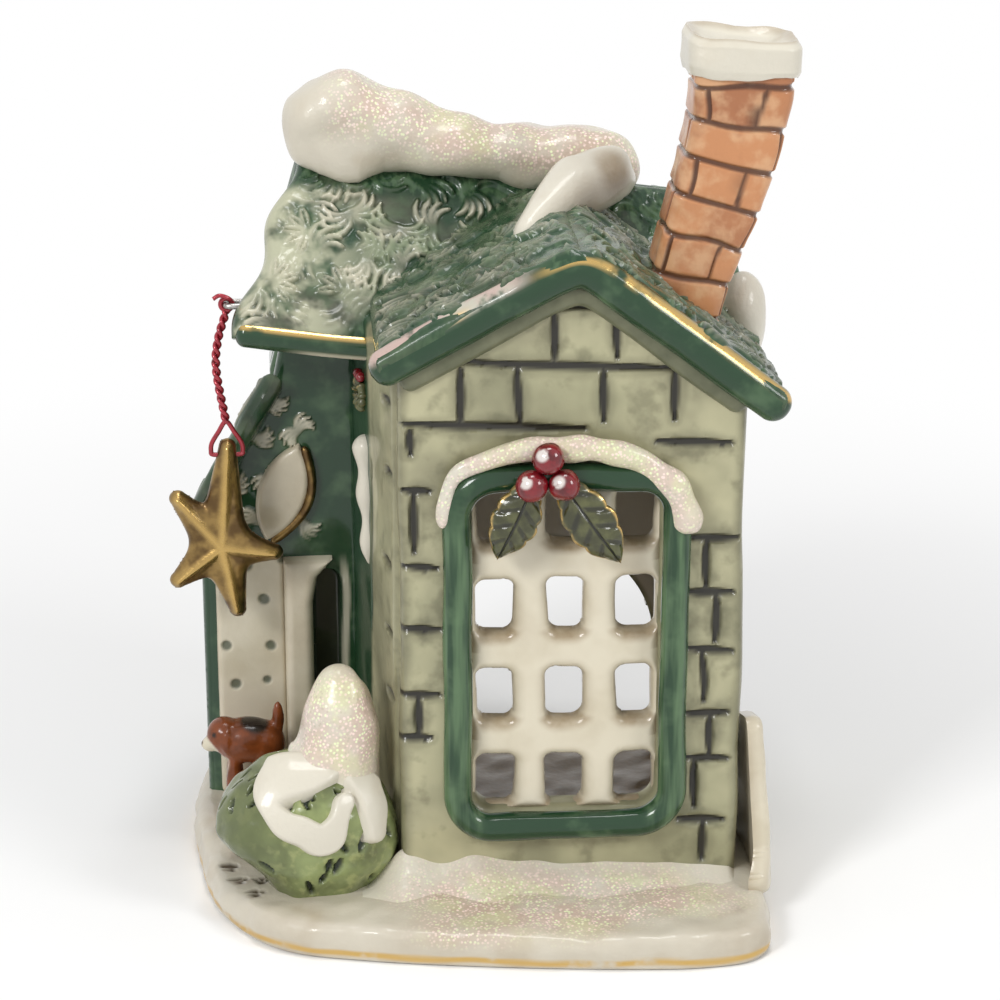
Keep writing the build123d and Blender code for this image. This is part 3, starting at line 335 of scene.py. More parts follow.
def sprays(flat, low, high, pitch, size, seed):
    """Fern sprays, 0 to 1: eight thin fronds that curl over to both sides of each place of a loose grid."""
    rng = np.random.default_rng(seed)
    mask = np.zeros(len(flat))
    fan = np.array((-2.1, -1.5, -0.9, -0.3, 0.3, 0.9, 1.5, 2.1))
    pieces = 5
    bend = 0.6 * fan[:, None] + np.sign(fan)[:, None] * np.linspace(0.0, 1.7, pieces)
    length = size / pieces * (1.0 - 0.15 * np.abs(fan))[:, None]
    for row, y in enumerate(np.arange(low[1] + pitch / 2, high[1], pitch)):
        for x in np.arange(low[0] + pitch * (0.25 + 0.5 * (row % 2)), high[0], pitch):
            centre = np.array((x, y)) + rng.uniform(-0.16, 0.16, 2) * pitch
            angle = rng.uniform(0.0, 2.0 * pi) + bend
            near = np.linalg.norm(flat - centre, axis=1) < 1.2 * size
            if not near.any():
                continue
            moves = np.stack([length * np.cos(angle), length * np.sin(angle)], -1)
            ends = centre + np.cumsum(moves, 1)
            strokes = np.concatenate([ends - moves, ends], -1).reshape(-1, 4)
            away, along = stroke_distance(flat[near], strokes)
            along = (np.tile(np.arange(pieces), len(fan)) + along) / pieces
            blade = 0.075 * size * np.sin(pi * np.clip(0.12 + 0.8 * along, 0.0, 1.0)) ** 0.7 + 0.08
            leaf = (ease(1.5, 0.2, away / blade) * (0.3 + 0.7 * along)).max(1)
            mask[near] = np.maximum(mask[near], leaf)
    return mask


def palmettes(flat, places):
    """Pressed fans, 0 to 1: five pointed ovals from each place, each fan turned on from the one before."""
    mask = np.zeros(len(flat))
    for number, place in enumerate(np.asarray(places, float)):
        near = np.linalg.norm(flat - place, axis=1) < 8.0
        for angle in np.radians(100.0 * number + np.array((-70.0, -35.0, 0.0, 35.0, 70.0))):
            if near.any():
                tip = place + 6.0 * np.array((cos(angle), sin(angle)))
                away = oval_distance(flat[near], place, tip, 2.6)
                vein, along = stroke_distance(flat[near], np.array([[*place, *tip]]))
                leaf = ease(0.2, -0.9, away) * (0.6 + 0.4 * along[:, 0])
                leaf *= 1.0 - 0.55 * ease(0.4, 0.05, vein[:, 0])
                mask[near] = np.maximum(mask[near], leaf)
    return mask


def facing(origin, across, out, up=(0.0, 0.0, 1.0)):
    """Carrier from a flat sheet to its place: origin + a * across + b * up + lift * out."""

    def place(flat, lift):
        spot = np.array(origin) + np.outer(flat[:, 0], across) + np.outer(flat[:, 1], up)
        return spot + np.outer(lift, out)

    return place


def slab(outline, low, high, step, place, thickness, rounding, relief=None):
    """Clay slab cut to an outline: its face has a relief and falls off at its edges in a quarter circle."""
    flat, inside, faces = sheet(outline, low, high, step)
    edge = np.clip(inside / rounding, 0.0, 1.0)
    lift = rounding * (np.sqrt(1.0 - (1.0 - edge) ** 2) - 1.0)
    if relief is not None:
        lift = lift + relief(flat)
    back = np.full(len(flat), -thickness)
    points, faces = thick(place(flat, lift), place(flat, back), faces)
    return points, faces, flat, inside


def roof(surface, rows, columns, thickness, relief, seed, ridge, along_ridge, places):
    """Roof slab on a patch surface(u, v): both faces stand off along its normal and thin out at every edge.

    The upper face carries pressed fans, placed along the ridge and down the slope, with fern sprays between.
    """
    u, v = np.meshgrid(np.linspace(0.0, 1.0, columns), np.linspace(0.0, 1.0, rows))
    middle = surface(u, v)
    step_u = np.gradient(middle, axis=1)
    step_v = np.gradient(middle, axis=0)
    normal = np.cross(step_u, step_v)
    normal /= np.linalg.norm(normal, axis=-1, keepdims=True)
    normal *= np.where(normal[..., 2:] < 0.0, -1.0, 1.0)
    along = np.cumsum(np.linalg.norm(step_u, axis=-1), 1)
    down = np.cumsum(np.linalg.norm(step_v, axis=-1), 0)
    rim = np.minimum.reduce([along - along[:, :1], along[:, -1:] - along, down - down[:1],
                             down[-1:] - down])
    half = thickness / 2 * np.sqrt(1.0 - (1.0 - np.clip(rim / (thickness / 2), 0.0, 1.0)) ** 2)
    gap = (middle - np.asarray(ridge)).reshape(-1, 3)
    spot = gap @ np.asarray(along_ridge, float)
    fall = np.sqrt(np.maximum((gap * gap).sum(1) - spot * spot, 0.0))
    flat = np.column_stack([spot, fall])
    rim = rim.reshape(-1)
    fans = palmettes(flat, places)
    fine = sprays(flat, flat.min(0), flat.max(0), 8.2, 8.6, seed)
    fine *= 0.35 + 0.65 * ease(-0.6, 0.4, uneven(flat, 8.0, seed + 9))
    mask = np.maximum(0.85 * fans, fine) * ease(0.6, 2.2, rim)
    wave = 0.2 * uneven(flat, 4.0, seed + 5)
    height = relief * np.maximum(fans, fine) * ease(1.0, 2.6, rim)
    lift = half.reshape(-1) + height + wave * ease(0.0, 1.5, rim)
    middle, normal = middle.reshape(-1, 3), normal.reshape(-1, 3)
    top = middle + normal * lift[:, None]
    low = middle - normal * half.reshape(-1, 1)
    points, faces = thick(top, low, quads(rows, columns))
    return points, faces, np.concatenate([mask, 0.0 * mask]), flat


# Glazes


class Coat:
    """Output of a shader node that takes part in Python sums"""

    def __init__(self, glaze, socket):
        self.glaze = glaze
        self.socket = socket

    def maths(self, operation, first, second):
        return self.glaze.node("ShaderNodeMath", {"operation": operation}, {0: first, 1: second})

    def __add__(self, other):
        return self.maths("ADD", self, other)

    def __radd__(self, other):
        return self.maths("ADD", other, self)

    def __rsub__(self, other):
        return self.maths("SUBTRACT", other, self)

    def __mul__(self, other):
        return self.maths("MULTIPLY", self, other)

    def __rmul__(self, other):
        return self.maths("MULTIPLY", other, self)


class Shading:
    """Nodes of a material or of the world"""

    def __init__(self, owner):
        owner.use_nodes = True
        self.tree = owner.node_tree
        self.tree.nodes.clear()

    def node(self, kind, settings=None, values=None, output=0):
        """Node of a kind with its settings, then the values or links of its sockets."""
        made = self.tree.nodes.new(kind)
        for key, value in (settings or {}).items():
            setattr(made, key, value)
        for key, value in (values or {}).items():
            socket = made.inputs[key]
            if isinstance(value, Coat):
                self.tree.links.new(value.socket, socket)
            elif socket.type == "RGBA" and len(value) == 3:
                socket.default_value = (*value, 1.0)
            else:
                socket.default_value = value
        return Coat(self, made.outputs[output]) if len(made.outputs) else None

    def step(self, value, low, high):
        """Smooth step of a value from low to high."""
        values = {"Value": value, "From Min": low, "From Max": high}
        return self.node("ShaderNodeMapRange", {"interpolation_type": "SMOOTHSTEP"}, values)

    def seen(self):
        """1 for camera, gloss and glass rays, 0 for the diffuse rays that light the house."""
        kinds = ("Is Camera Ray", "Is Glossy Ray", "Is Transmission Ray")
        camera, gloss, glass = (self.node("ShaderNodeLightPath", output=kind) for kind in kinds)
        return self.step(camera + gloss + glass, 0.0, 0.5)


class Glaze(Shading):
    """Recipe of one glaze: a material and the nodes that vary it"""

    def __init__(self, name):
        self.material = bpy.data.materials.new(name)
        super().__init__(self.material)
        self.place = self.node("ShaderNodeTexCoord", output="Object")
        upright = {0: self.place, 1: (1.0, 1.0, 0.1)}
        self.upright = self.node("ShaderNodeVectorMath", {"operation": "MULTIPLY"}, upright)

    def mark(self, name):
        """Value that the piece's own points carry."""
        return self.node("ShaderNodeAttribute", {"attribute_name": name}, output="Fac")

    def cloud(self, size, detail=3.0):
        """Soft noise with features of a size in millimetres."""
        values = {"Vector": self.place, "Scale": 1.0 / (size * MM), "Detail": detail}
        return self.node("ShaderNodeTexNoise", {}, values)

    def streaks(self, size):
        """Soft noise drawn out upright, with streaks of a width in millimetres."""
        return self.node("ShaderNodeTexNoise", {}, {"Vector": self.upright, "Scale": 1.0 / (size * MM)})

    def grains(self, size, output="Distance"):
        """Cells of a size in millimetres."""
        return self.node("ShaderNodeTexVoronoi", {}, {"Vector": self.place, "Scale": 1.0 / (size * MM)},
                         output)

    def mix(self, share, first, second):
        """Blend of two colours."""
        return self.node("ShaderNodeMix", {"data_type": "RGBA"}, {0: share, 6: first, 7: second}, 2)

    def fire(self, colour, roughness, metallic=0.0, coat=0.5, height=None, depth=0.3, shine=0.25):
        """Shader of the glaze, with a bump of a depth in millimetres where a height is given."""
        values = {
            "Base Color": colour,
            "Roughness": roughness,
            "Metallic": metallic,
            "Specular IOR Level": shine,
            "Coat Weight": coat,
            "Coat Roughness": 0.06,
        }
        if height is not None:
            bump = {"Height": height, "Strength": 0.7, "Distance": depth * MM}
            values["Normal"] = self.node("ShaderNodeBump", {}, bump)
        shader = self.node("ShaderNodeBsdfPrincipled", {}, values)
        self.node("ShaderNodeOutputMaterial", {}, {"Surface": shader})
        return self.material


def sage_glaze(name, c):
    """Sage stone wall: pale stones, olive wash, dark joints, green where the porch's glaze runs on."""
    g = Glaze(name)
    patch = g.step(g.cloud(14.0), 0.35, 0.7)
    stone = g.mix(patch, c.sage, tuple(0.62 * v for v in c.sage))
    stone = g.mix(g.step(g.cloud(5.0), 0.5, 0.72) * 0.5, stone, c.sage_shade)
    stone = g.mix(g.step(g.cloud(30.0), 0.45, 0.7) * 0.35, stone, (0.20, 0.21, 0.12))
    stone = g.mix(g.mark("wash") * (0.45 + 0.6 * g.cloud(3.0)), stone, c.sage_shade)
    stone = g.mix(g.mark("green"), stone, c.green)
    colour = g.mix(g.mark("line"), stone, c.joint)
    colour = g.mix(g.mark("inner"), colour, (0.76, 0.70, 0.60))
    return g.fire(colour, 0.3 + 0.15 * g.cloud(6.0), coat=0.35, height=g.cloud(1.6), depth=0.12)


def green_glaze(name, c):
    """Dark green glaze that breaks lighter, with gold, frost, cream leaves, dark joints and the porch niche's
    painted shade where marked.
    """
    g = Glaze(name)
    thin = g.step(g.cloud(7.0), 0.5, 0.75)
    colour = g.mix(thin * 0.45, c.green, c.green_light)
    colour = g.mix(g.mark("wash") * g.step(g.streaks(1.8), 0.32, 0.68) * 0.7, colour, c.green_light)
    colour = g.mix(g.mark("relief"), colour, c.cream)
    # dark joints, and painted shade in the porch niche
    colour = g.mix(g.mark("line") * 0.85, colour, c.joint)
    frost = g.mark("frost") * g.step(g.cloud(3.0), 0.25, 0.5)
    colour = g.mix(frost * 0.85, colour, g.mix(g.step(g.cloud(8.0), 0.4, 0.6), (0.62, 0.45, 0.40),
                                               (0.60, 0.58, 0.48)))
    gold = g.mark("gold") * g.step(g.cloud(6.0), 0.3, 0.46)
    colour = g.mix(gold, colour, c.gold)
    return g.fire(colour, 0.16 + 0.2 * frost, metallic=gold * 0.85, coat=0.45, height=g.cloud(2.4),
                  depth=0.12)


def roof_glaze(name, c):
    """Roof: dark green ground under leaf sprays whose cream glaze thins to green at their edges."""
    g = Glaze(name)
    thin = g.mark("wash")
    ground = g.mix(g.step(g.cloud(12.0), 0.4, 0.6), c.green, (0.05, 0.058, 0.036))
    ground = g.mix(g.step(g.cloud(6.0), 0.42, 0.7) * 0.4, ground, c.green_light)
    ground = g.mix(thin * g.step(g.cloud(7.0), 0.36, 0.56) * 0.85, ground, (0.52, 0.52, 0.37))
    ground = g.mix(g.mark("green") * g.step(g.cloud(5.0), 0.25, 0.5), ground, c.green)
    ground = g.mix(g.mark("green") * g.step(g.streaks(1.6), 0.42, 0.66) * 0.5, ground, c.green_light)
    leaf = g.mix(g.step(g.cloud(6.0), 0.3, 0.65) * (1.0 - 0.6 * thin), c.cream, (0.26, 0.31, 0.19))
    colour = g.mix(g.step(g.mark("relief"), 0.1, 0.95) * (0.7 + 0.3 * g.cloud(4.0)), ground, leaf)
    return g.fire(colour, 0.26, coat=0.35, height=g.cloud(1.4), depth=0.15)


def cream_glaze(name, c):
    """Cream glaze with specks, a little crazing and a brown wash where marked, which on the garden panel's
    back face is also painted shade.
    """
    g = Glaze(name)
    colour = g.mix(g.step(g.cloud(9.0), 0.4, 0.75) * 0.5, c.cream, (0.55, 0.48, 0.34))
    # brown where marked: a wash, and painted shade on the garden panel's back face
    colour = g.mix(g.mark("stain") * (0.25 + 0.7 * g.cloud(2.5)), colour, c.stain)
    colour = g.mix(g.mark("line"), colour, (0.16, 0.17, 0.12))
    return g.fire(colour, 0.28, coat=0.45, height=g.cloud(1.8), depth=0.1)


def snow_glaze(name, c):
    """Snow: warm white with tan smudges, pink and green grains of glitter, and gold where marked."""
    g = Glaze(name)
    smudge = g.step(g.cloud(13.0), 0.52, 0.8)
    colour = g.mix(smudge * 0.55, c.snow, c.snow_shade)
    frost = g.mark("frost")
    colour = g.mix(frost * g.step(g.cloud(8.0), 0.3, 0.6) * 0.6, colour, (0.66, 0.46, 0.39))
    colour = g.mix(frost * g.step(g.cloud(9.0), 0.48, 0.62) * 0.6, colour, (0.70, 0.71, 0.42))
    # tan where marked: smudges, and painted shade at the lip of the chimney cap's hollow top
    colour = g.mix(g.mark("stain") * (0.35 + 0.6 * g.cloud(4.0)), colour, c.stain)
    grain = g.grains(0.6, "Color")
    share = g.step(g.grains(0.6), 0.55, 0.25) * frost * g.step(g.cloud(4.0), 0.25, 0.5)
    spark = g.mix(g.step(grain, 0.42, 0.5), (1.0, 0.80, 0.74), (0.90, 1.0, 0.62))
    spark = g.mix(g.step(grain, 0.66, 0.7), spark, (0.60, 0.53, 0.42))
    colour = g.mix(share * 0.85, colour, spark)
    colour = g.mix(g.mark("line"), colour, (0.09, 0.07, 0.045))
    gold = g.mark("gold") * g.step(g.cloud(7.0), 0.28, 0.42)
    colour = g.mix(gold, colour, c.gold)
    height = g.cloud(1.5) + 0.6 * frost * g.grains(0.8)
    return g.fire(colour, 0.36 - 0.15 * share, metallic=gold * 0.85, coat=0.35, height=height, depth=0.18)


def holly_glaze(name, c):
    """Holly: olive bronze with black ribs and gilt edges."""
    g = Glaze(name)
    colour = g.mix(g.step(g.cloud(3.0), 0.35, 0.7), c.holly, tuple(2.2 * v for v in c.holly))
    colour = g.mix(g.mark("line"), colour, (0.012, 0.012, 0.008))
    gold = g.mark("gold") * g.step(g.cloud(2.0), 0.35, 0.6)
    colour = g.mix(gold, colour, c.gold)
    return g.fire(colour, 0.2, metallic=gold * 0.8, coat=0.6, height=g.cloud(0.8), depth=0.08)


def red_glaze(name, c):
    """Crimson glaze, deeper in places, with a cloudy white painted highlight where marked."""
    g = Glaze(name)
    colour = g.mix(g.step(g.cloud(2.2), 0.4, 0.7), c.red, tuple(0.45 * v for v in c.red))
    # painted highlight: cloudy white on the marked spot of each berry
    colour = g.mix(g.mark("frost") * g.step(g.cloud(2.4), 0.38, 0.48), colour, (0.72, 0.66, 0.62))
    return g.fire(colour, 0.14, coat=0.8, height=g.cloud(1.2), depth=0.06)


def brick_glaze(name, c):
    """Bricks: terracotta that differs from brick to brick, with dark glossy joints and scorched patches."""
    g = Glaze(name)
    colour = g.mix(g.mark("shade"), c.brick, c.brick_dark)
    colour = g.mix(g.step(g.cloud(4.0), 0.42, 0.68) * 0.6, colour, (0.74, 0.46, 0.26))
    colour = g.mix(g.step(g.cloud(7.0), 0.54, 0.76) * 0.7, colour, c.brick_dark)
    colour = g.mix(g.mark("line") * 0.9, colour, (0.07, 0.026, 0.014))
    return g.fire(colour, 0.34 - 0.14 * g.mark("line"), coat=0.4, height=g.cloud(1.2), depth=0.15)


def bush_glaze(name, c):
    """Bush: leaf green with dark notches and yellow-green leaf tips."""
    g = Glaze(name)
    colour = g.mix(g.step(g.cloud(6.0), 0.35, 0.7), c.bush, tuple(0.5 * v for v in c.bush))
    colour = g.mix(g.step(g.cloud(2.5), 0.5, 0.7) * 0.6, colour, (0.42, 0.45, 0.19))
    colour = g.mix(g.mark("shade"), colour, tuple(0.35 * v for v in c.bush))
    colour = g.mix(g.mark("line"), colour, (0.012, 0.022, 0.010))
    return g.fire(colour, 0.22, coat=0.4, height=g.cloud(1.5), depth=0.15)


def puppy_glaze(name, c):
    """Puppy: reddish coat, darker on the back, cream on the muzzle and chest."""
    g = Glaze(name)
    colour = g.mix(g.step(g.cloud(3.0), 0.4, 0.7) * 0.6, c.puppy, tuple(0.4 * v for v in c.puppy))
    colour = g.mix(g.mark("line"), colour, (0.02, 0.012, 0.008))
    colour = g.mix(g.mark("relief"), colour, c.cream)
    return g.fire(colour, 0.24, coat=0.3, height=g.cloud(1.5), depth=0.08)


def gold_lustre(name, c):
    """Gold lustre that runs to bronze in the hollows, more so in random patches, and stays bright gold on the
    arm ridges as a painted highlight.
    """
    g = Glaze(name)
    # painted highlight: the bronze share drops where the relief mark lies along the arm ridges, so they show
    # bright gold
    wear_and_ridge_highlight = (0.62 + 0.38 * g.step(g.cloud(4.0), 0.35, 0.62)) * (1.0 - 0.8 * g.mark("relief"))
    colour = g.mix(wear_and_ridge_highlight, c.gold, c.bronze)
    return g.fire(colour, 0.2 + 0.14 * wear_and_ridge_highlight, metallic=0.9, coat=0.2, height=g.cloud(1.3), depth=0.12)


def staple_metal(name, c):
    """Plain steel wire with a fine drawn grain."""
    g = Glaze(name)
    colour = g.mix(g.step(g.cloud(0.8), 0.4, 0.7), (0.42, 0.41, 0.39), (0.22, 0.20, 0.18))
    return g.fire(colour, 0.32, metallic=1.0, coat=0.0, height=g.cloud(0.3), depth=0.02)


def red_wire(name, c):
    """Crimson enamelled wire, rubbed dark in places."""
    g = Glaze(name)
    colour = g.mix(g.step(g.cloud(2.0), 0.52, 0.75), c.wire, tuple(0.35 * v for v in c.wire))
    colour = g.mix(g.mark("line"), colour, (0.03, 0.012, 0.012))
    return g.fire(colour, 0.24, metallic=0.35, coat=0.5, height=g.cloud(0.5), depth=0.03)


GLAZES = {
    "sage_glaze": sage_glaze,
    "green_glaze": green_glaze,
    "roof_glaze": roof_glaze,
    "cream_glaze": cream_glaze,
    "snow_glaze": snow_glaze,
    "holly_glaze": holly_glaze,
    "red_glaze": red_glaze,
    "brick_glaze": brick_glaze,
    "bush_glaze": bush_glaze,
    "puppy_glaze": puppy_glaze,
    "gold_lustre": gold_lustre,
    "staple_metal": staple_metal,
    "red_wire": red_wire,
}


def skin_mesh(name, points, blocks):
    """Mesh of a skin in millimetres."""
    mesh = bpy.data.meshes.new(name)
    mesh.from_pydata((points * MM).tolist(), [], sum((block.tolist() for block in blocks), []))
    return mesh


def add_piece(name, skin, slot, node=None, body="house", **marks):
    """Makes a piece of a skin and its marks, turns its faces outward and sets it on its body."""
    points, blocks = skin[:2]
    mesh = skin_mesh(name, points, blocks)
    for key, value in marks.items():
        value = np.ravel(value)
        full = np.zeros(len(points))
        copies = 2 if 2 * len(value) == len(points) else 1
        full[: copies * len(value)] = np.tile(value, copies)
        mesh.attributes.new(key, "FLOAT", "POINT").data.foreach_set("value", full)
    shell = bmesh.new()
    shell.from_mesh(mesh)
    bmesh.ops.recalc_face_normals(shell, faces=shell.faces)
    shell.to_mesh(mesh)
    shell.free()
    mesh.polygons.foreach_set("use_smooth", np.ones(len(mesh.polygons), bool))
    mesh.set_sharp_from_angle(angle=radians(60.0))
    fired = "fired_" + slot
    glaze = bpy.data.materials.get(fired) or GLAZES[slot](fired, bpy.context.scene.house_colours)
    mesh.materials.append(glaze)
    piece = bpy.data.objects.new(name, mesh)
    bpy.context.scene.collection.objects.link(piece)
    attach(piece, body)
    if node:
        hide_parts(node)


def wing_side(y):
    """X of the wing's splayed left wall at depth y."""
    return WING_LEFT_X - WING_SPLAY * (y - FRONT_Y) / (DOOR_Y - FRONT_Y)


def wing_profile(x):
    """Height of the wing roof's middle: two slopes off a ridge that is rounded by a hyperbola."""
    gap = x - RIDGE_X
    slope = WING_LEFT_FALL + (WING_RIGHT_FALL - WING_LEFT_FALL) * ease(-8.0, 8.0, gap)
    return RIDGE_Z - slope * np.sqrt(gap * gap + RIDGE_ROUND * RIDGE_ROUND)


def ridge_height(x):
    """Height of the middle of the main roof at its leaning ridge."""
    return MAIN_RIDGE_Z - (x - MAIN_RIDGE_X) * tan(ROOF_LEAN)


def toward(start, end):
    """Unit vector in plan from start to end."""
    run = np.array((end[0] - start[0], end[1] - start[1], 0.0))
    return run / np.linalg.norm(run)


def frontal(y):
    """Carrier of a sheet that looks to the front at depth y."""
    return facing((0.0, y, 0.0), (1, 0, 0), (0, -1, 0))


FRONT = frontal(FRONT_Y)
PORCH = frontal(DOOR_Y)
WING_RUN = toward((wing_side(FRONT_Y), FRONT_Y), (wing_side(DOOR_Y), DOOR_Y))
WING_OUT = np.array((-WING_RUN[1], WING_RUN[0], 0.0))
WING_LEFT = facing((wing_side(FRONT_Y), FRONT_Y, 0.0), WING_RUN, WING_OUT)
RIGHT_SIDE = facing((RIGHT_X, 0.0, 0.0), (0, 1, 0), (1, 0, 0))
BACK = facing((0.0, BACK_Y, 0.0), (1, 0, 0), (0, 1, 0))
PORCH_RUN = toward((PORCH_LEFT_X, DOOR_Y), (PORCH_LEFT_X + PORCH_SPLAY, BACK_Y))
PORCH_SIDE = facing((PORCH_LEFT_X, DOOR_Y, 0.0), PORCH_RUN, (-PORCH_RUN[1], PORCH_RUN[0], 0.0))


def left_gable(flat, lift):
    """Carrier of the left gable: upright to the porch roof and leaning inward above it."""
    x = MAIN_LEFT_X + np.maximum(flat[:, 1] - PORCH_TOP, 0.0) * tan(GABLE_LEAN) - lift
    return np.column_stack([x, flat[:, 0], flat[:, 1]])


# Joints of the front wall: height, left end, right end, fall of the upright joints and their places
GABLE_COURSES = (
    (116.0, 10.5, 23.0, 9.6, (14.0, 25.0)),
    (105.2, -4.5, 35.0, 10.2, (-2.5, 7.7, 22.6, 35.2)),
    (94.4, -12.5, 19.5, 5.0, (-11.5,)),
    (90.6, 32.4, 45.5, 0.5, (44.0,)),
    (82.8, -12.7, -8.0, 11.5, (-11.0,)),
    (68.2, -12.8, -6.5, 0.5, (-9.0,)),
    (56.2, -12.8, -6.2, 0.5, (-9.0,)),
    (43.8, -13.5, -6.7, 8.0, (-10.2,)),
    (35.2, -13.5, -8.0, 0.5, (-9.0,)),
    (72.6, 38.2, 47.0, 9.4, (41.6,)),
    (62.2, 37.4, 46.4, 9.5, (43.6,)),
    (51.1, 38.8, 46.8, 10.0, (41.4,)),
    (38.6, 38.6, 46.0, 8.2, (43.0,)),
    (29.6, 38.6, 46.4, 9.6, (40.2,)),
    (17.4, 37.5, 45.6, 8.0, (41.9,)),
)


def front_strokes():
    """Strokes of the front wall: each course's level joint, falling to the right, and its uprights."""
    strokes = []
    for level, left, right, fall, uprights in GABLE_COURSES:
        tilt = -0.05 * (right - left)
        strokes.append((left, level - tilt / 2, right, level + tilt / 2))
        strokes += [(x, level - 0.6, x + 0.02 * fall, level - fall) for x in uprights]
    return np.array(strokes)


class VILLAGE_OT_base(bpy.types.Operator):
    """Models the snow slab under the house and the drift at the wall's foot"""

    bl_idname = "village.base"
    bl_label = "Base and Drift"

    OUTLINE = (
        (0.0, 0.62),
        (0.014, 0.444),
        (0.052, 0.267),
        (0.15, 0.125),
        (0.31, 0.066),
        (0.526, 0.027),
        (0.732, 0.005),
        (0.873, 0.002),
        (0.967, 0.031),
        (1.0, 0.13),
        (0.998, 0.405),
        (0.989, 0.7),
        (0.972, 0.916),
        (0.901, 0.99),
        (0.498, 1.0),
        (0.16, 0.99),
        (0.052, 0.926),
        (0.01, 0.79),
    )
    SIZE = (106.5, 101.7)
    CORNER = (-53.0, -53.2)
    PAWS = ((-45.5, -19.0), (-43.6, -24.0), (-40.6, -29.2), (-39.4, -24.2))

    def base(self):
        """Rings of the outline drawn in to the middle: flat below, half round at the rim, uneven on top."""
        edge = curve(self.OUTLINE, 500, True) * self.SIZE + self.CORNER
        middle = edge.mean(0)
        reach = edge - middle
        length = np.linalg.norm(reach, axis=1)[:, None]
        turn = np.linspace(-pi / 2, pi / 2, 17)
        inset = np.where(turn > 0.0, 4.6, 2.2) * (1.0 - np.cos(turn) ** 0.7)
        rim = [np.column_stack([middle + reach * (1.0 - k / length), 0 * length + 3 + 3 * sin(a)])
               for k, a in zip(inset, turn)]
        below = [np.column_stack([middle + (rim[0][:, :2] - middle) * k, 0 * length])
                 for k in (0.02, 0.4, 0.8)]
        above = [np.column_stack([middle + (rim[-1][:, :2] - middle) * k, 0 * length + BASE_TOP])
                 for k in np.linspace(0.985, 0.02, 120)]
        rings = np.array(below + rim + above)
        flat = rings.reshape(-1, 3)
        ripple = uneven(flat[:, :2], 5.0, 11) + 0.6 * uneven(flat[:, :2], 1.8, 12)
        flat[:, 2] += 0.4 * (1.0 + ripple) * ease(3.0, BASE_TOP, flat[:, 2])
        outward = (flat[:, :2] - middle) / np.linalg.norm(flat[:, :2] - middle, axis=1, keepdims=True)
        side = ease(0.1, 2.0, flat[:, 2]) * ease(6.4, 4.5, flat[:, 2])
        flat[:, :2] -= outward * (0.5 * (1.0 + uneven(flat, 3.2, 13)) * side)[:, None]
        paw = np.zeros(len(flat))
        for spot in self.PAWS:
            for dx, dy, size in ((0, 0, 0.85), (-1.2, 1.2, 0.55), (0, 1.7, 0.55), (1.2, 1.2, 0.55)):
                away = np.linalg.norm(flat[:, :2] - spot - np.array((dx, dy)), axis=1)
                paw = np.maximum(paw, ease(size * 1.3, size * 0.8, away) * (flat[:, 2] > 4.0))
        flat[:, 2] -= 0.5 * paw
        gold = ease(0.9, 0.25, np.abs(flat[:, 2] - 1.5 - 0.5 * uneven(flat, 8.0, 14)))
        gold *= np.linalg.norm(flat[:, :2] - middle, axis=1) > 0.9 * np.tile(length[:, 0], len(rings))
        skin = loft(rings)
        spot = np.linalg.norm((flat[:, :2] - (16.0, -38.0)) / (32.0, 13.0), axis=1)
        frost = ease(1.2, 0.5, spot + 0.3 * uneven(flat[:, :2], 6.0, 15)) * ease(3.0, 5.5, flat[:, 2])
        inside = box_distance(flat[:, :2], (16.0, 8.0), (29.0, 32.0), 4.0)
        soil = ease(1.0, 2.0, inside) * (0.3 + 0.25 * uneven(flat[:, :2], 9.0, 16))
        stain = 1.5 * ease(1.0, -1.0, inside) + soil
        add_piece("base_snow", skin, "snow_glaze", "base_slab", line=paw, gold=gold, frost=frost,
                  stain=np.clip(stain, 0.0, 1.5))

    def drift(self):
        """Height times (1 - v) to the power 2.2 from the wall, lower to the right, gone at both ends."""
        u, v = np.meshgrid(np.linspace(0.0, 1.0, 160), np.linspace(0.0, 1.0, 30))
        u, v = u.ravel(), v.ravel()
        wave = uneven(np.column_stack([u * 62.0, 0.0 * u]), 3.5, 21)
        ends = ease(0.0, 0.12, u) * ease(1.0, 0.97, u)
        depth = (15.0 - 6.0 * u) * (1.0 + 0.22 * wave)
        height = (6.4 - 4.6 * u) * (1.0 + 0.25 * wave) * ends
        x = -21.0 + 70.0 * u
        y = FRONT_Y + 1.2 - (depth + 1.2) * v
        z = BASE_TOP + height * (1.0 - v) ** 2.2 + 0.5 * (1.0 - v) * ends - 0.25 * v
        top = np.column_stack([x, y, z])
        top[:, 2] += 0.25 * uneven(top, 2.0, 22) * (1.0 - v)
        low = np.column_stack([x, y, np.full(len(x), BASE_TOP - 0.6)])
        frost = 0.35 + 0.6 * ease(0.1, 0.5, v) + 0.15 * wave
        frost = np.concatenate([frost * ease(0.0, 0.2, u) * ease(1.0, 0.75, u), 0.0 * v])
        add_piece("front_drift", thick(top, low, quads(30, 160)), "snow_glaze", "front_snow_drift",
                  frost=frost)

    def execute(self, context):
        self.base()
        self.drift()
        return {"FINISHED"}


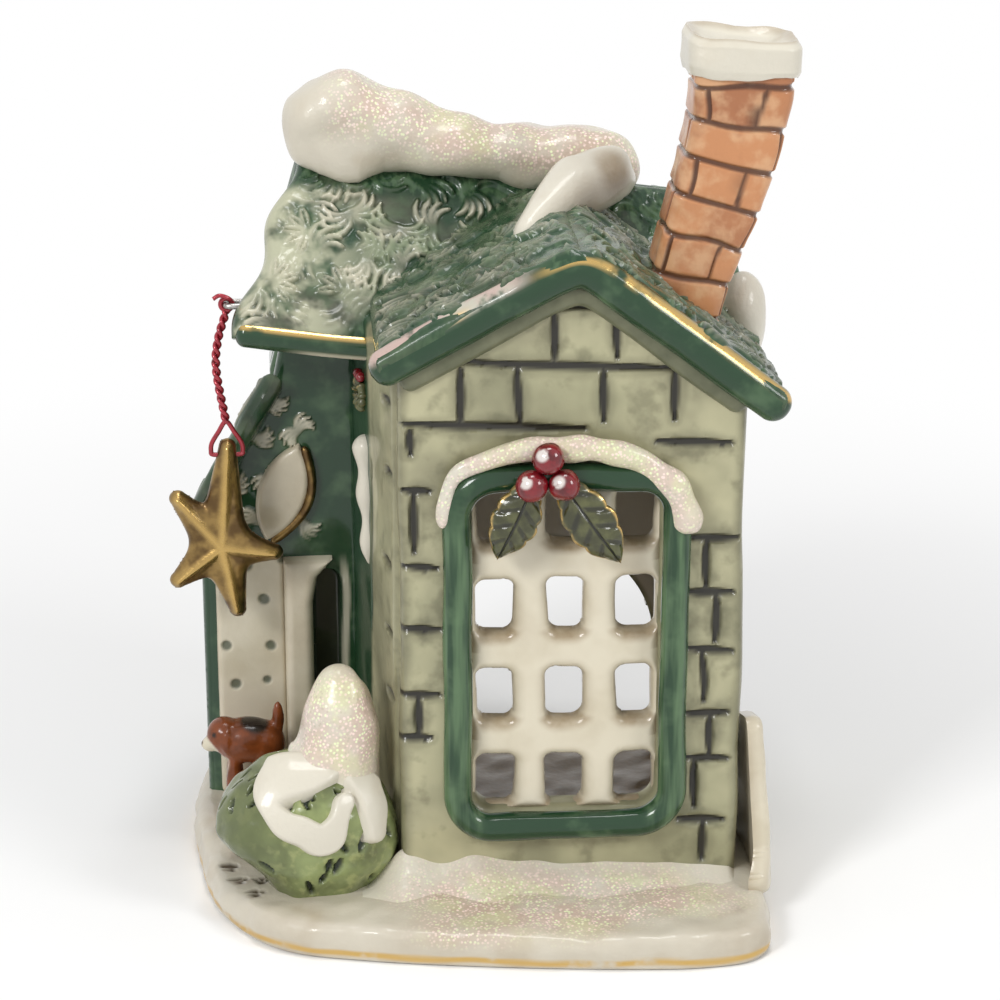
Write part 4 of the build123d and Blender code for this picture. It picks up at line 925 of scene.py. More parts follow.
class VILLAGE_OT_walls(bpy.types.Operator):
    """Models the stone walls of the wing and of the main block"""

    bl_idname = "village.walls"
    bl_label = "Walls"

    ARCH = np.array((17.5, 27.0))
    ARCH_RADIUS = 23.0
    VENT_PITCH = 14.0
    VENT_Z = 76.0

    def wall(self, name, node, outline, low, high, place, strokes, sizes, seed, slot="sage_glaze",
             green=None):
        """Slab with incised joints: their depth taken off a slightly uneven face."""
        depth = sizes.joint_depth / MM
        width = sizes.joint_width / MM

        def relief(flat):
            return 0.22 * uneven(flat, 4.5, seed) - depth * incised(flat, strokes, width, seed + 3)

        skin = slab(outline, low, high, 0.45, place, WALL, 1.7, relief)
        flat = skin[2]
        line = incised(flat, strokes, 0.95 * width, seed + 3)
        wash = np.maximum(incised(flat, strokes, 2.4, seed + 3) * 0.4, ease(2.6, 0.4, skin[3]) * 0.7)
        tint = green(flat) if green else 0.0 * line
        blank = 0.0 * line
        marks = {key: np.concatenate([value, blank]) for key, value in
                 (("line", line), ("wash", wash), ("green", tint))}
        add_piece(name, skin, slot, node, inner=np.concatenate([blank, ease(0.2, 1.4, skin[3])]), **marks)

    def execute(self, context):
        sizes = context.scene.house_sizes
        gable = ((-13.5, 5.0), (48.5, 5.0), (48.5, 100.5), (18.5, 122.4), (-13.5, 106.0))

        def front(flat):
            bent = flat + 0.35 * np.stack([uneven(flat, 6.0, 31), 0.0 * flat[:, 0]], -1)
            return np.maximum(polygon_distance(bent, gable),
                              -box_distance(flat, WINDOW, WINDOW_HALF - 0.4, 3.6))

        self.wall("wing_front_wall", "front_wall", front, (-15, 4), (50, 124), FRONT, front_strokes(),
                  sizes, 41)

        side = polygon((4.6, 5.0), (47.0, 5.0), (47.0, 106.5), (4.6, 106.5))
        marks = np.array([(7.0, 97.0, 15.0, 96.0), (6.5, 84.0, 13.0, 83.0), (8.0, 66.0, 16.0, 65.0),
                          (7.0, 53.0, 14.0, 52.4), (6.5, 40.5, 13.0, 40.0), (26.0, 80.0, 27.5, 47.0)])
        self.wall("wing_left_side", "wing_left_wall", side, (-1, 4), (48.5, 108), WING_LEFT, marks, sizes, 51,
                  green=lambda f: ease(26.0, 29.5, f[:, 0] + 1.5 * uneven(f, 5.0, 52)))

        side = polygon((-22.4, 5.0), (17.4, 5.0), (17.4, 103.5), (0.0, 99.2), (-22.4, 99.2))
        self.wall("wing_right_side", "wing_right_wall", side, (-28, 4), (19, 105), RIGHT_SIDE,
                  courses((-21, 6), (17, 99), 11.0, 15.0, 61), sizes, 62)

        side = polygon((17.2, 5.0), (38.4, 5.0), (38.4, 108.4), (28.0, 119.5), (17.2, 107.2))
        self.wall("right_gable", "right_gable_wall", side, (16, 4), (44.5, 121), RIGHT_SIDE,
                  courses((17, 6), (43, 116), 11.0, 15.0, 71), sizes, 72)

        side = polygon((21.5, 5.0), (38.4, 5.0), (38.4, 117.3), (28.0, 128.0), (21.5, 121.0))
        self.wall("left_gable", "left_gable_wall", side, (20, 4), (44, 130), left_gable,
                  courses((22, 92), (42, 124), 10.0, 12.0, 81), sizes, 82, "green_glaze")

        back = ((-42.0, 5.0), (48.3, 5.0), (48.3, 103.6), (-30.6, 113.4), (-36.0, 91.0), (-36.0, 74.0),
                (-42.0, 63.5))

        def rear(flat):
            across = flat[:, 0] - self.ARCH[0]
            over = np.linalg.norm(flat - self.ARCH, axis=1)
            arch = np.where(flat[:, 1] > self.ARCH[1], over, np.abs(across)) - self.ARCH_RADIUS
            aside = across - self.VENT_PITCH * np.clip(np.round(across / self.VENT_PITCH), -1, 1)
            vent = np.column_stack([aside, np.abs(flat[:, 1] - self.VENT_Z) - 8.5])
            vents = box_distance(vent, (0.0, 0.0), (4.0, 5.5), 2.2)
            return np.maximum(polygon_distance(flat, back), -np.minimum(arch, vents))

        strokes = []
        for row in range(1, 9):
            level = BASE_TOP + 11.5 * row
            uprights = np.arange(-39.5 + 8.5 * (1 + row % 2), 46.0, 17.0)
            strokes += [(x, level - 0.4, x + 0.3, level - 11.1) for x in uprights]
            strokes += [(x - 12.0, level, x + 4.4, level) for x in uprights]
        self.wall("rear_wall", "back_wall", rear, (-44, 4), (50, 115), BACK, np.array(strokes), sizes, 92)
        return {"FINISHED"}


class VILLAGE_OT_porch(bpy.types.Operator):
    """Models the entrance: green walls, door, pier, pointed tympanum, wreath and the snow beside it"""

    bl_idname = "village.porch"
    bl_label = "Porch"

    DOTS = ((-38.2, 47.0), (-45.6, 37.6), (-37.0, 37.2), (-44.0, 29.5), (-38.0, 30.2), (-34.6, 55.0),
            (-41.2, 54.0))

    def walls(self):
        """Front wall with a blind arched niche, glazed near black inside as painted shade, and sprays above
        the door; plain splayed side wall.
        """
        wall = polygon((-50.0, 5.0), (-19.4, 5.0), (-19.4, 112.0), (-30.8, 112.0), (-36.0, 87.5),
                       (-50.0, 63.5))

        def niche(flat):
            away = np.where(flat[:, 1] > 49.2, np.linalg.norm(flat - (-26.1, 49.2), axis=1),
                            np.abs(flat[:, 0] + 26.1))
            return away - 2.8

        def leaves(flat):
            return sprays(flat, (-50.0, 58.0), (-30.0, 92.0), 8.5, 5.0, 105) * ease(57.0, 62.0, flat[:, 1])

        def relief(flat):
            return 0.2 * uneven(flat, 4.0, 101) + 0.8 * leaves(flat) - 2.6 * ease(0.5, -0.5, niche(flat))

        skin = slab(wall, (-51, 4), (-18, 113), 0.4, PORCH, WALL, 1.4, relief)
        flat = skin[2]
        # painted shade: the niche is darkened towards the joint colour through the line mark
        hollow = ease(0.2, -0.6, niche(flat))
        strip = ease(0.9, 0.4, np.abs(flat[:, 0] + 22.6 + 0.4 * uneven(flat, 5.0, 103)))
        strip *= ease(56.0, 50.0, flat[:, 1])
        strip *= ease(12.0, 18.0, flat[:, 1])
        add_piece("porch_front", skin, "green_glaze", "porch_front_wall", line=hollow,
                  relief=np.maximum(leaves(flat), 0.6 * strip))
        side = polygon((0.2, 5.0), (26.6, 5.0), (26.6, 67.0), (0.2, 67.0))
        skin = slab(side, (-1, 4), (28, 68.5), 0.6, PORCH_SIDE, WALL, 1.4,
                    lambda f: 0.25 * uneven(f, 4.0, 107))
        add_piece("porch_side", skin, "green_glaze", "porch_side_wall")

    def entrance(self):
        """Door, pier and tympanum as rounded slabs; the bead is a coil along the tympanum's right edge."""
        def dots(flat):
            away = np.min([np.linalg.norm(flat - spot, axis=1) for spot in self.DOTS], axis=0)
            return ease(1.25, 0.75, away + 0.25 * uneven(flat, 1.4, 117))

        door = frontal(DOOR_Y - 1.6)
        skin = slab(lambda f: box_distance(f, (-40.8, 31.0), (6.7, 26.4), 3.0), (-49, 3), (-32, 59), 0.3,
                    door, 1.8, 1.1, lambda f: 0.12 * uneven(f, 3.0, 111) - 0.3 * dots(f))
        stain = np.maximum(ease(1.2, 0.2, skin[3]) * 0.4, 0.1 * uneven(skin[2], 6.0, 112))
        add_piece("door", skin, "cream_glaze", "door_panel", line=dots(skin[2]), stain=stain)

        pier = ((-34.2, 4.6), (-28.9, 4.6), (-28.9, 46.5), (-28.0, 51.6), (-25.0, 55.0), (-34.2, 55.0))
        front = frontal(DOOR_Y - 4.0)
        skin = slab(lambda f: polygon_distance(f, pier) - 0.1, (-36, 4), (-23.5, 56.5), 0.3, front,
                    4.2, 1.8, lambda f: 0.2 * uneven(f, 3.0, 113))
        add_piece("pier", skin, "cream_glaze", "door_pier", stain=0.25 + 0.25 * uneven(skin[2], 4.0, 114))

        start, tip = np.array((-30.8, 78.0)), np.array((-37.474, 58.617))
        face = frontal(DOOR_Y - 1.8)
        skin = slab(lambda f: oval_distance(f, start, tip, 9.4), (-41, 57), (-27, 80), 0.28, face, 2.0, 1.2,
                    lambda f: 0.15 * uneven(f, 2.5, 115))
        add_piece("tympanum", skin, "cream_glaze", "door_tympanum",
                  stain=0.3 + 0.3 * uneven(skin[2], 5.0, 116))
        spot = np.linspace(0.0, 1.0, 60)
        side = np.array((cos(radians(-19.0)), sin(radians(-19.0))))
        line = start + np.outer(spot, tip - start) + np.outer(0.9 + 4.4 * np.sin(pi * spot), side)
        path = np.column_stack([line[:, 0], np.full(60, DOOR_Y - 0.9), line[:, 1]])
        add_piece("gold_bead", coil(path, 0.95 * soft_ends(60, 0.08), 16, (0, 1, 0)), "gold_lustre",
                  "tympanum_bead")

    def wreath(self):
        """Knobbly ring, a coil whose radius swings with the angle; bow of three lobes; streak of snow."""
        angle = np.linspace(0.0, 2.0 * pi, 96, endpoint=False)
        foot = np.array((wing_side(6.0), 6.0, 91.0))
        path = foot + WING_OUT * 0.5 + 2.4 * (np.outer(np.cos(angle), WING_RUN)
                                              + np.outer(np.sin(angle), (0, 0, 1)))
        radius = 0.9 + 0.18 * np.sin(11.0 * angle) + 0.1 * np.sin(17.0 * angle)
        add_piece("wreath", coil(path, radius, 18, WING_OUT, closed=True), "holly_glaze", "wreath_ring",
                  gold=np.repeat(ease(0.9, 1.0, np.sin(11.0 * angle)), 18) * 0.5)
        top = foot + WING_OUT * 0.6 + np.array((0.0, 0.0, 3.5))
        loops = [loft(lobe(top + WING_RUN * k, (1.0, 1.25, 1.0), 18, 24)) for k in (-1.25, 1.25)]
        add_piece("bow", join(*loops, loft(lobe(top + WING_OUT * 0.3, (0.7, 0.7, 0.7), 14, 20))),
                  "red_glaze", "wreath_bow")
        spot = np.linspace(0.0, 1.0, 90)
        path = np.column_stack([0.0 * spot, 4.6 - 2.4 * spot, 83.5 - 25.0 * spot])
        path[:, 0] = wing_side(path[:, 1]) + 0.1
        radius = soft_ends(90, 0.12) * (2.3 - 1.2 * spot + 0.4 * np.sin(17.0 * spot))
        add_piece("side_streak", coil(path, radius, 24, WING_RUN), "snow_glaze", "side_wall_snow")

    def execute(self, context):
        self.walls()
        self.entrance()
        self.wreath()
        return {"FINISHED"}


class VILLAGE_OT_roofs(bpy.types.Operator):
    """Models the roofs with their pressed leaves, and the rolls along verge and eave"""

    bl_idname = "village.roofs"
    bl_label = "Roofs"

    FRONT_FANS = ((30.0, 16.5), (16.0, 16.5), (36.0, 27.5), (22.5, 27.5), (-41.0, 11.0))
    REAR_FANS = [(x, 24.0) for x in range(-27, 44, 14)] + [(x, 13.5) for x in range(-20, 37, 14)]
    WING_LEFT_FANS = ((-22.0, 10.0), (-8.0, 10.0), (6.0, 10.0), (-15.0, 21.5), (-1.0, 21.5), (-22.0, 32.5),
                      (-8.0, 32.5), (4.0, 32.5))
    WING_RIGHT_FANS = ((22.0, 10.0), (8.0, 9.0), (-6.0, 10.0), (22.0, 22.0), (-8.0, 22.0), (23.0, 35.0),
                       (-7.0, 34.0))
    PORCH_FANS = ((8.0, 17.5), (21.0, 25.0))

    def main(self, relief):
        """Two planes off a leaning ridge; the left verge of the front one waves."""
        def front(u, v):
            left = -30.0 - 12.6 * v + 1.1 * np.sin(4.0 * pi * v)
            x = left + (51.0 + 5.2 * v - left) * u
            y = MAIN_RIDGE_Y + 1.0 - 26.0 * v
            return np.stack([x, y, ridge_height(x) + 1.2 - MAIN_FRONT_FALL * 26.0 * v], -1)

        def back(u, v):
            left = -30.0 - 6.2 * v
            x = left + (51.0 + 5.2 * v - left) * u
            y = MAIN_RIDGE_Y - 1.0 + 23.0 * v
            return np.stack([x, y, ridge_height(x) + 1.2 - MAIN_BACK_FALL * 23.0 * v], -1)

        ridge = (MAIN_RIDGE_X, MAIN_RIDGE_Y, MAIN_RIDGE_Z)
        lean = np.array((cos(ROOF_LEAN), 0.0, -sin(ROOF_LEAN)))
        for name, node, surface, seed, along, places in (
            ("front_roof", "main_roof_front", front, 121, -lean, self.FRONT_FANS),
            ("rear_roof", "main_roof_back", back, 122, lean, self.REAR_FANS),
        ):
            skin = roof(surface, 120, 300, 5.0, relief, seed, ridge, along, places)
            spot, fall = skin[3].T
            thin = ease(12.0, 32.0, spot) if name == "front_roof" else 0.0 * spot
            green = np.maximum(ease(9.0, 5.0, fall), ease(7.0, 1.0, spot + 16.0 - 0.92 * fall))
            add_piece(name, skin, "roof_glaze", node, relief=skin[2] * np.tile(1.0 - 0.7 * green, 2),
                      wash=np.tile(thin * (1.0 - green), 2), green=np.tile(green, 2))

    def wing(self, relief):
        """Each slope runs from the ridge to its eave and back to the line where it meets the main roof."""
        def meets(x):
            return MAIN_RIDGE_Y + 2.0 - (ridge_height(x) + 3.9 - wing_profile(x) - 2.9) / MAIN_FRONT_FALL

        def left(u, v):
            x = RIDGE_X + 1.0 - 36.4 * u
            y = -31.0 + (meets(x) + 31.0) * v
            return np.stack([x, y, wing_profile(x)], -1)

        def right(u, v):
            x = RIDGE_X - 1.0 + 36.8 * u
            y = -31.0 + (meets(x) + 31.0) * v
            return np.stack([x, y, wing_profile(x)], -1)

        ridge = (RIDGE_X, 0.0, RIDGE_Z)
        for name, node, surface, seed, along, places in (
            ("wing_left_slope", "wing_roof_left", left, 131, (0, 1, 0), self.WING_LEFT_FANS),
            ("wing_right_slope", "wing_roof_right", right, 132, (0, -1, 0), self.WING_RIGHT_FANS),
        ):
            skin = roof(surface, 160, 120, 5.0, relief, seed, ridge, along, places)
            green = 0.35 + 0.5 * ease(9.0, 3.0, skin[3][:, 1])
            add_piece(name, skin, "roof_glaze", node, relief=0.6 * skin[2], green=np.tile(green, 2))

    def porch(self, relief):
        """Steep plane against the gable that draws in towards the back, with a scalloped front edge."""
        def surface(u, v):
            y = 12.2 + 33.2 * v + (1.0 - v) * 0.8 * np.sin(5.0 * pi * u)
            eave = -52.6 + PORCH_SPLAY / (BACK_Y - DOOR_Y) * (y - 12.0)
            x = eave + (MAIN_LEFT_X + 1.2 - eave) * u
            return np.stack([x, y, 62.5 + 1.72 * (x - eave)], -1)

        skin = roof(surface, 110, 110, 4.0, relief, 141, (MAIN_LEFT_X, 12.0, PORCH_TOP), PORCH_RUN,
                    self.PORCH_FANS)
        add_piece("porch_hood", skin, "roof_glaze", "porch_roof", relief=skin[2])

    def rolls(self):
        """Coils along the wing's verge and the main eave, gilt on top in front, and one under the verge."""
        x = np.linspace(-18.0, 55.2, 260)
        path = np.column_stack([x, np.full(260, -28.4), wing_profile(x) - 0.9])
        path[:, 1] += 0.3 * uneven(path, 6.0, 151)
        rings = coil_rings(path, 3.5 * soft_ends(260, 0.035) + 0.25 * uneven(path, 5.0, 153), 32,
                           (0, 1, 0), 0.85)
        flat = rings.reshape(-1, 3)
        spot = np.repeat(path, 32, 0)
        rise = (flat - spot)[:, 2]
        ahead = (spot - flat)[:, 1]
        gold = ease(0.7, 0.2, np.abs(rise - 2.1)) * (ahead > 0)
        gold *= np.maximum(ease(8.0, 16.0, flat[:, 0]), ease(3.0, -1.0, np.abs(flat[:, 0] + 3.0)))
        frost = ease(1.0, 2.2, rise) * ease(12.0, 5.0, flat[:, 0])
        add_piece("verge_roll", loft(rings), "green_glaze", gold=gold, frost=frost)
        x = np.linspace(-13.0, 48.0, 200)
        path = np.column_stack([x, np.full(200, -27.0), wing_profile(x) - 5.6])
        path[:, 2] += 0.3 * uneven(path, 5.0, 154)
        rings = coil_rings(path, 2.2 * soft_ends(200, 0.03), 24, (0, 1, 0), 0.7)
        add_piece("verge_fillet", loft(rings), "sage_glaze", wash=np.full(200 * 24, 0.9),
                  green=np.full(200 * 24, 0.35))
        x = np.linspace(-42.0, -14.5, 110)
        path = np.column_stack([x, np.full(110, 3.4), ridge_height(x) - 28.4])
        path[:, 2] += 0.25 * uneven(path, 5.0, 152)
        rings = coil_rings(path, 2.5 * soft_ends(110, 0.07), 28, (0, 1, 0))
        flat = rings.reshape(-1, 3)
        spot = np.repeat(path, 28, 0)
        rise = (flat - spot)[:, 2]
        gold = ease(0.7, 0.15, np.abs(rise - 1.7)) * ((spot - flat)[:, 1] > 0)
        cream = ease(-1.0, -1.9, rise) * ease(-34.0, -26.0, flat[:, 0])
        add_piece("eave_roll", loft(rings), "green_glaze", gold=gold, relief=0.9 * cream)

    def execute(self, context):
        relief = context.scene.house_sizes.leaf_relief / MM
        self.main(relief)
        self.wing(relief)
        self.porch(relief)
        self.rolls()
        return {"FINISHED"}


class VILLAGE_OT_window(bpy.types.Operator):
    """Models the lattice, the rolled frame and the snow over the window"""

    bl_idname = "village.window"
    bl_label = "Window"

    PITCH = np.array((12.7, 17.0))
    PANE_HALF = (3.4, 5.0)

    def lattice(self):
        """Slab with three by four rounded panes cut through, its bars pillowed by a wide edge rounding."""
        def cell(flat):
            x, z = (flat - WINDOW).T
            wide, high = self.PITCH
            across = x - wide * np.clip(np.round(x / wide), -1, 1)
            up = z - high * (np.clip(np.round(z / high + 0.5), -1, 2) - 0.5)
            return np.column_stack([across, up])

        def outline(flat):
            bent = flat + 0.35 * np.stack([uneven(flat, 3.5, 161), uneven(flat, 3.5, 162)], -1)
            panes = box_distance(cell(bent), (0.0, 0.0), self.PANE_HALF, 1.9)
            return np.maximum(box_distance(flat, WINDOW, WINDOW_HALF + 0.5, 4.0), -panes)

        place = frontal(FRONT_Y + 0.4)
        skin = slab(outline, WINDOW - WINDOW_HALF - 1.5, WINDOW + WINDOW_HALF + 1.5, 0.3, place, 4.0, 2.3,
                    lambda f: 0.18 * uneven(f, 3.0, 163))
        spot = cell(skin[2])
        below = ease(-3.8, -5.2, spot[:, 1])
        stain = 1.3 * ease(2.6, 0.2, skin[3]) * np.maximum(below, 0.12) + 0.2 * ease(0.8, 0.0, skin[3])
        stain += 0.25 * ease(0.3, 1.0, uneven(skin[2], 5.0, 164))
        add_piece("lattice", skin, "cream_glaze", "window_lattice", stain=np.clip(stain, 0.0, 1.0))

    def frame(self):
        """Rolled coil round the window: a loop with round corners that wavers a little."""
        half = WINDOW_HALF + 2.6
        corner = 6.6
        turns = np.linspace(0.0, pi / 2, 24)
        loop = []
        for quarter, (sx, sz) in enumerate(((1, 1), (-1, 1), (-1, -1), (1, -1))):
            angle = turns + quarter * pi / 2
            middle = WINDOW + (half - corner) * (sx, sz)
            loop.append(middle + corner * np.column_stack([np.cos(angle), np.sin(angle)]))
        loop = np.vstack(loop + [loop[0][:1]])
        reach = np.concatenate([[0.0], np.cumsum(np.linalg.norm(np.diff(loop, axis=0), axis=1))])
        spot = np.linspace(0.0, reach[-1], 420, endpoint=False)
        path = np.column_stack([np.interp(spot, reach, loop[:, 0]), np.full(420, FRONT_Y - 1.3),
                                np.interp(spot, reach, loop[:, 1])])
        path[:, [0, 2]] += 0.3 * np.column_stack([uneven(path, 7.0, 171), uneven(path, 7.0, 172)])
        radius = 2.6 * (1.0 + 0.05 * uneven(path, 4.0, 173))
        wash = ease(33.0, 26.0, np.abs(path[:, 2] - WINDOW[1] + 4.0))
        wash *= ease(14.0, 17.0, np.abs(path[:, 0] - WINDOW[0]))
        add_piece("frame_coil", coil(path, radius, 28, (0, 1, 0), True), "green_glaze", "window_frame",
                  wash=np.repeat(wash, 28))

    def snow(self):
        """Lumpy coil over the frame's head, thin down the left and wide down the right."""
        knots = ((-5.9, 76.6), (-5.4, 81.0), (-3.8, 85.8), (1.2, 88.9), (8.0, 90.6), (15.0, 91.0),
                 (23.0, 90.2), (29.6, 88.0), (35.4, 83.2), (37.4, 78.0), (37.2, 74.6))
        count = 260
        line = curve(knots, count)
        spot = np.linspace(0.0, 1.0, count)
        radius = np.interp(spot, (0.0, 0.2, 0.35, 0.6, 0.8, 0.92, 1.0), (1.1, 1.4, 2.0, 2.4, 2.5, 2.6, 2.3))
        radius *= soft_ends(count, 0.05)
        path = np.column_stack([line[:, 0], FRONT_Y - 2.6 + 0.0 * spot, line[:, 1]])
        rings = coil_rings(path, radius, 30, (0, 1, 0), 0.85)
        rings += 0.6 * uneven(rings, 2.4, 181)[..., None] * (rings - path[:, None]) / 2.6
        frost = np.repeat(0.95 - 0.35 * ease(0.75, 0.95, spot), 30)
        add_piece("window_frost", loft(rings), "snow_glaze", "window_snow", frost=frost)

    def execute(self, context):
        self.lattice()
        self.frame()
        self.snow()
        return {"FINISHED"}


class VILLAGE_OT_holly(bpy.types.Operator):
    """Models two holly leaves and three berries over the window"""

    bl_idname = "village.holly"
    bl_label = "Holly"

    def leaf(self, name, node, start, tip, width, seed):
        """Oval with scalloped sides: arched across, creased along its rib, its tip bending to the wall."""
        u, v = np.meshgrid(np.linspace(0.0, 1.0, 90), np.linspace(-1.0, 1.0, 50))
        u, v = u.ravel(), v.ravel()
        start, tip = np.array(start), np.array(tip)
        run = tip - start
        length = np.linalg.norm(run)
        run /= length
        side = np.array((-run[1], run[0]))
        spikes = 1.0 + 0.16 * np.abs(np.sin(4.5 * pi * u)) ** 0.6 - 0.1
        half = width / 2 * np.sin(pi * np.clip(u * 0.97 + 0.03, 0.0, 1.0)) ** 0.7 * spikes
        flat = start + np.outer(u * length, run) + np.outer(v * half, side)
        veins = ease(0.09, 0.03, np.abs(v)) * ease(0.0, 0.1, u)
        twigs = ease(0.22, 0.08, np.abs(((u * 5.0 - np.abs(v) * 0.9) % 1.0) - 0.5))
        twigs *= ease(0.05, 0.2, np.abs(v))
        rib = np.maximum(veins, 0.7 * twigs * ease(0.95, 0.8, np.abs(v)))
        lift = 1.4 * (1.0 - v * v) + 1.5 * np.sin(pi * u) - 0.35 * rib + 0.1 * uneven(flat, 2.0, seed)
        y = FRONT_Y - 4.4 - lift
        top = np.column_stack([flat[:, 0], y, flat[:, 1]])
        low = top + (0.0, 1.1, 0.0)
        gold = np.maximum(ease(0.86, 0.97, np.abs(v)), ease(0.94, 1.0, u)) * (1.0 - rib)
        add_piece(name, thick(top, low, quads(50, 90)), "holly_glaze", node, line=rib, gold=gold)

    def execute(self, context):
        self.leaf("leaf_left", "holly_leaf_left", (10.0, 85.6), (3.6, 71.6), 8.2, 191)
        self.leaf("leaf_right", "holly_leaf_right", (15.0, 85.6), (25.6, 70.4), 8.6, 192)
        for name, node, x, z in (("berry_left", "holly_berry_left", 9.65, 85.4),
                                 ("berry_right", "holly_berry_right", 15.35, 85.4),
                                 ("berry_top", "holly_berry_top", 12.5, 90.34)):
            rings = lobe((x, FRONT_Y - 6.4, z), (2.85, 2.85, 2.85), 36, 52)
            rings += 0.12 * uneven(rings, 1.6, int(10 * x))[..., None]
            # painted highlight: a white spot on each berry's upper left front, carried in the same mark as
            # the snow's glitter
            gap = rings - (x - 1.3, FRONT_Y - 8.6, z + 1.4)
            frost = ease(1.5, 0.9, np.linalg.norm(gap, axis=-1))
            add_piece(name, loft(rings), "red_glaze", node, frost=frost)
        return {"FINISHED"}


class VILLAGE_OT_chimney(bpy.types.Operator):
    """Models the leaning brick chimney and its cap of snow"""

    bl_idname = "village.chimney"
    bl_label = "Chimney"

    FOOT = np.array((38.0, -7.0, 103.0))
    SHIFT = 10.5
    RISE = 49.3
    COURSE = 6.9
    BRICK = 9.4

    def outline(self, count, corner_share):
        """Square with round corners as a superellipse: signed powers of cosine and sine."""
        angle = np.linspace(0.0, 2.0 * pi, count, endpoint=False)
        wave = np.column_stack([np.cos(angle), np.sin(angle)])
        return np.sign(wave) * np.abs(wave) ** corner_share

    def stack(self, depth):
        """Square rings up an S-bent line, with joints where the nearest course or brick end is close."""
        count, rows = 220, 230
        t = np.linspace(0.0, 1.03, rows)
        x = self.FOOT[0] + self.SHIFT * ease(0.0, 1.0, t)
        steer = 6.0 * t * (1.0 - t) * self.SHIFT
        turn = np.arctan2(steer, self.RISE)
        square = self.outline(count, 0.34)
        wide = (13.0 + 5.0 * t)[:, None] / 2
        deep = (12.5 + 2.5 * t)[:, None] / 2
        along = np.cumsum(np.hypot(np.gradient(x), self.RISE / rows))[:, None] + 0.0 * square[:, 0]
        perimeter = np.concatenate([[0.0], np.cumsum(np.linalg.norm(np.diff(square, axis=0), axis=1))])
        around = perimeter[None] / perimeter[-1] * 56.0 + 0.0 * along
        course = along / self.COURSE + 0.07 * uneven(np.stack([around, along], -1), 4.0, 201)
        row = np.floor(course)
        spot = around / self.BRICK + 0.5 * (row % 2)
        spot += 0.08 * uneven(np.stack([around, along], -1), 3.0, 202)
        level = np.abs(course - np.round(course)) * self.COURSE
        upright = np.abs(spot - np.round(spot)) * self.BRICK
        joint = np.maximum(ease(0.75, 0.25, level), ease(0.7, 0.2, upright))
        shade = np.sin(row * 12.9898 + np.floor(spot) * 78.233) * 43758.5453
        shade -= np.floor(shade)
        swell = 1.0 - (depth * joint - 0.2 * uneven(np.stack([around, along], -1), 2.5, 203)) / 7.5
        across = square[None, :, 0] * wide * swell
        inward = square[None, :, 1] * deep * swell
        rings = np.stack([
            x[:, None] + across * np.cos(turn)[:, None],
            self.FOOT[1] + inward,
            self.FOOT[2] + self.RISE * t[:, None] - across * np.sin(turn)[:, None],
        ], -1)
        add_piece("brick_stack", loft(rings), "brick_glaze", "chimney", line=joint.ravel(),
                  shade=0.8 * shade.ravel() ** 2)

    def cap(self):
        """Square rings from the lower rim, over the edge and into the hollow top, with drips, and a tan band
        of painted shade at the hollow's lip.
        """
        middle = self.FOOT[0] + self.SHIFT
        turn = np.linspace(0.0, 1.0, 60)
        stops = (0.0, 0.12, 0.25, 0.55, 0.68, 0.8, 1.0)
        share = np.interp(turn, stops, (0.75, 0.97, 1.02, 1.0, 0.92, 0.66, 0.03))
        height = np.interp(turn, stops, (153.8, 153.2, 154.4, 158.4, 159.8, 158.4, 157.0))
        square = self.outline(160, 0.42)
        rings = np.stack([
            middle + square[None, :, 0] * 10.0 * share[:, None],
            self.FOOT[1] + square[None, :, 1] * 8.5 * share[:, None],
            height[:, None] + 0.0 * square[None, :, 0],
        ], -1)
        rings[..., 2] -= 0.08 * (rings[..., 0] - middle) * ease(0.0, 0.4, turn)[:, None]
        lump = uneven(rings, 2.8, 205)
        rings[..., 2] += 0.45 * lump * ease(0.0, 0.3, turn)[:, None]
        drip = np.clip(uneven(rings[..., :2], 2.0, 206), 0, 1)
        rings[..., 2] -= 1.3 * drip * ease(0.4, 0.1, turn)[:, None]
        rings[..., :2] += (0.3 * lump * ease(0.95, 0.5, turn)[:, None])[..., None] * np.sign(square)[None]
        # painted shade: a tan band round the lip of the hollow top
        edge = ease(0.62, 0.68, turn) * ease(0.78, 0.7, turn)
        add_piece("chimney_cap", loft(rings), "snow_glaze", "chimney_snow",
                  stain=np.repeat(edge, 160) * 0.6)

    def execute(self, context):
        self.stack(context.scene.house_sizes.brick_depth / MM)
        self.cap()
        return {"FINISHED"}


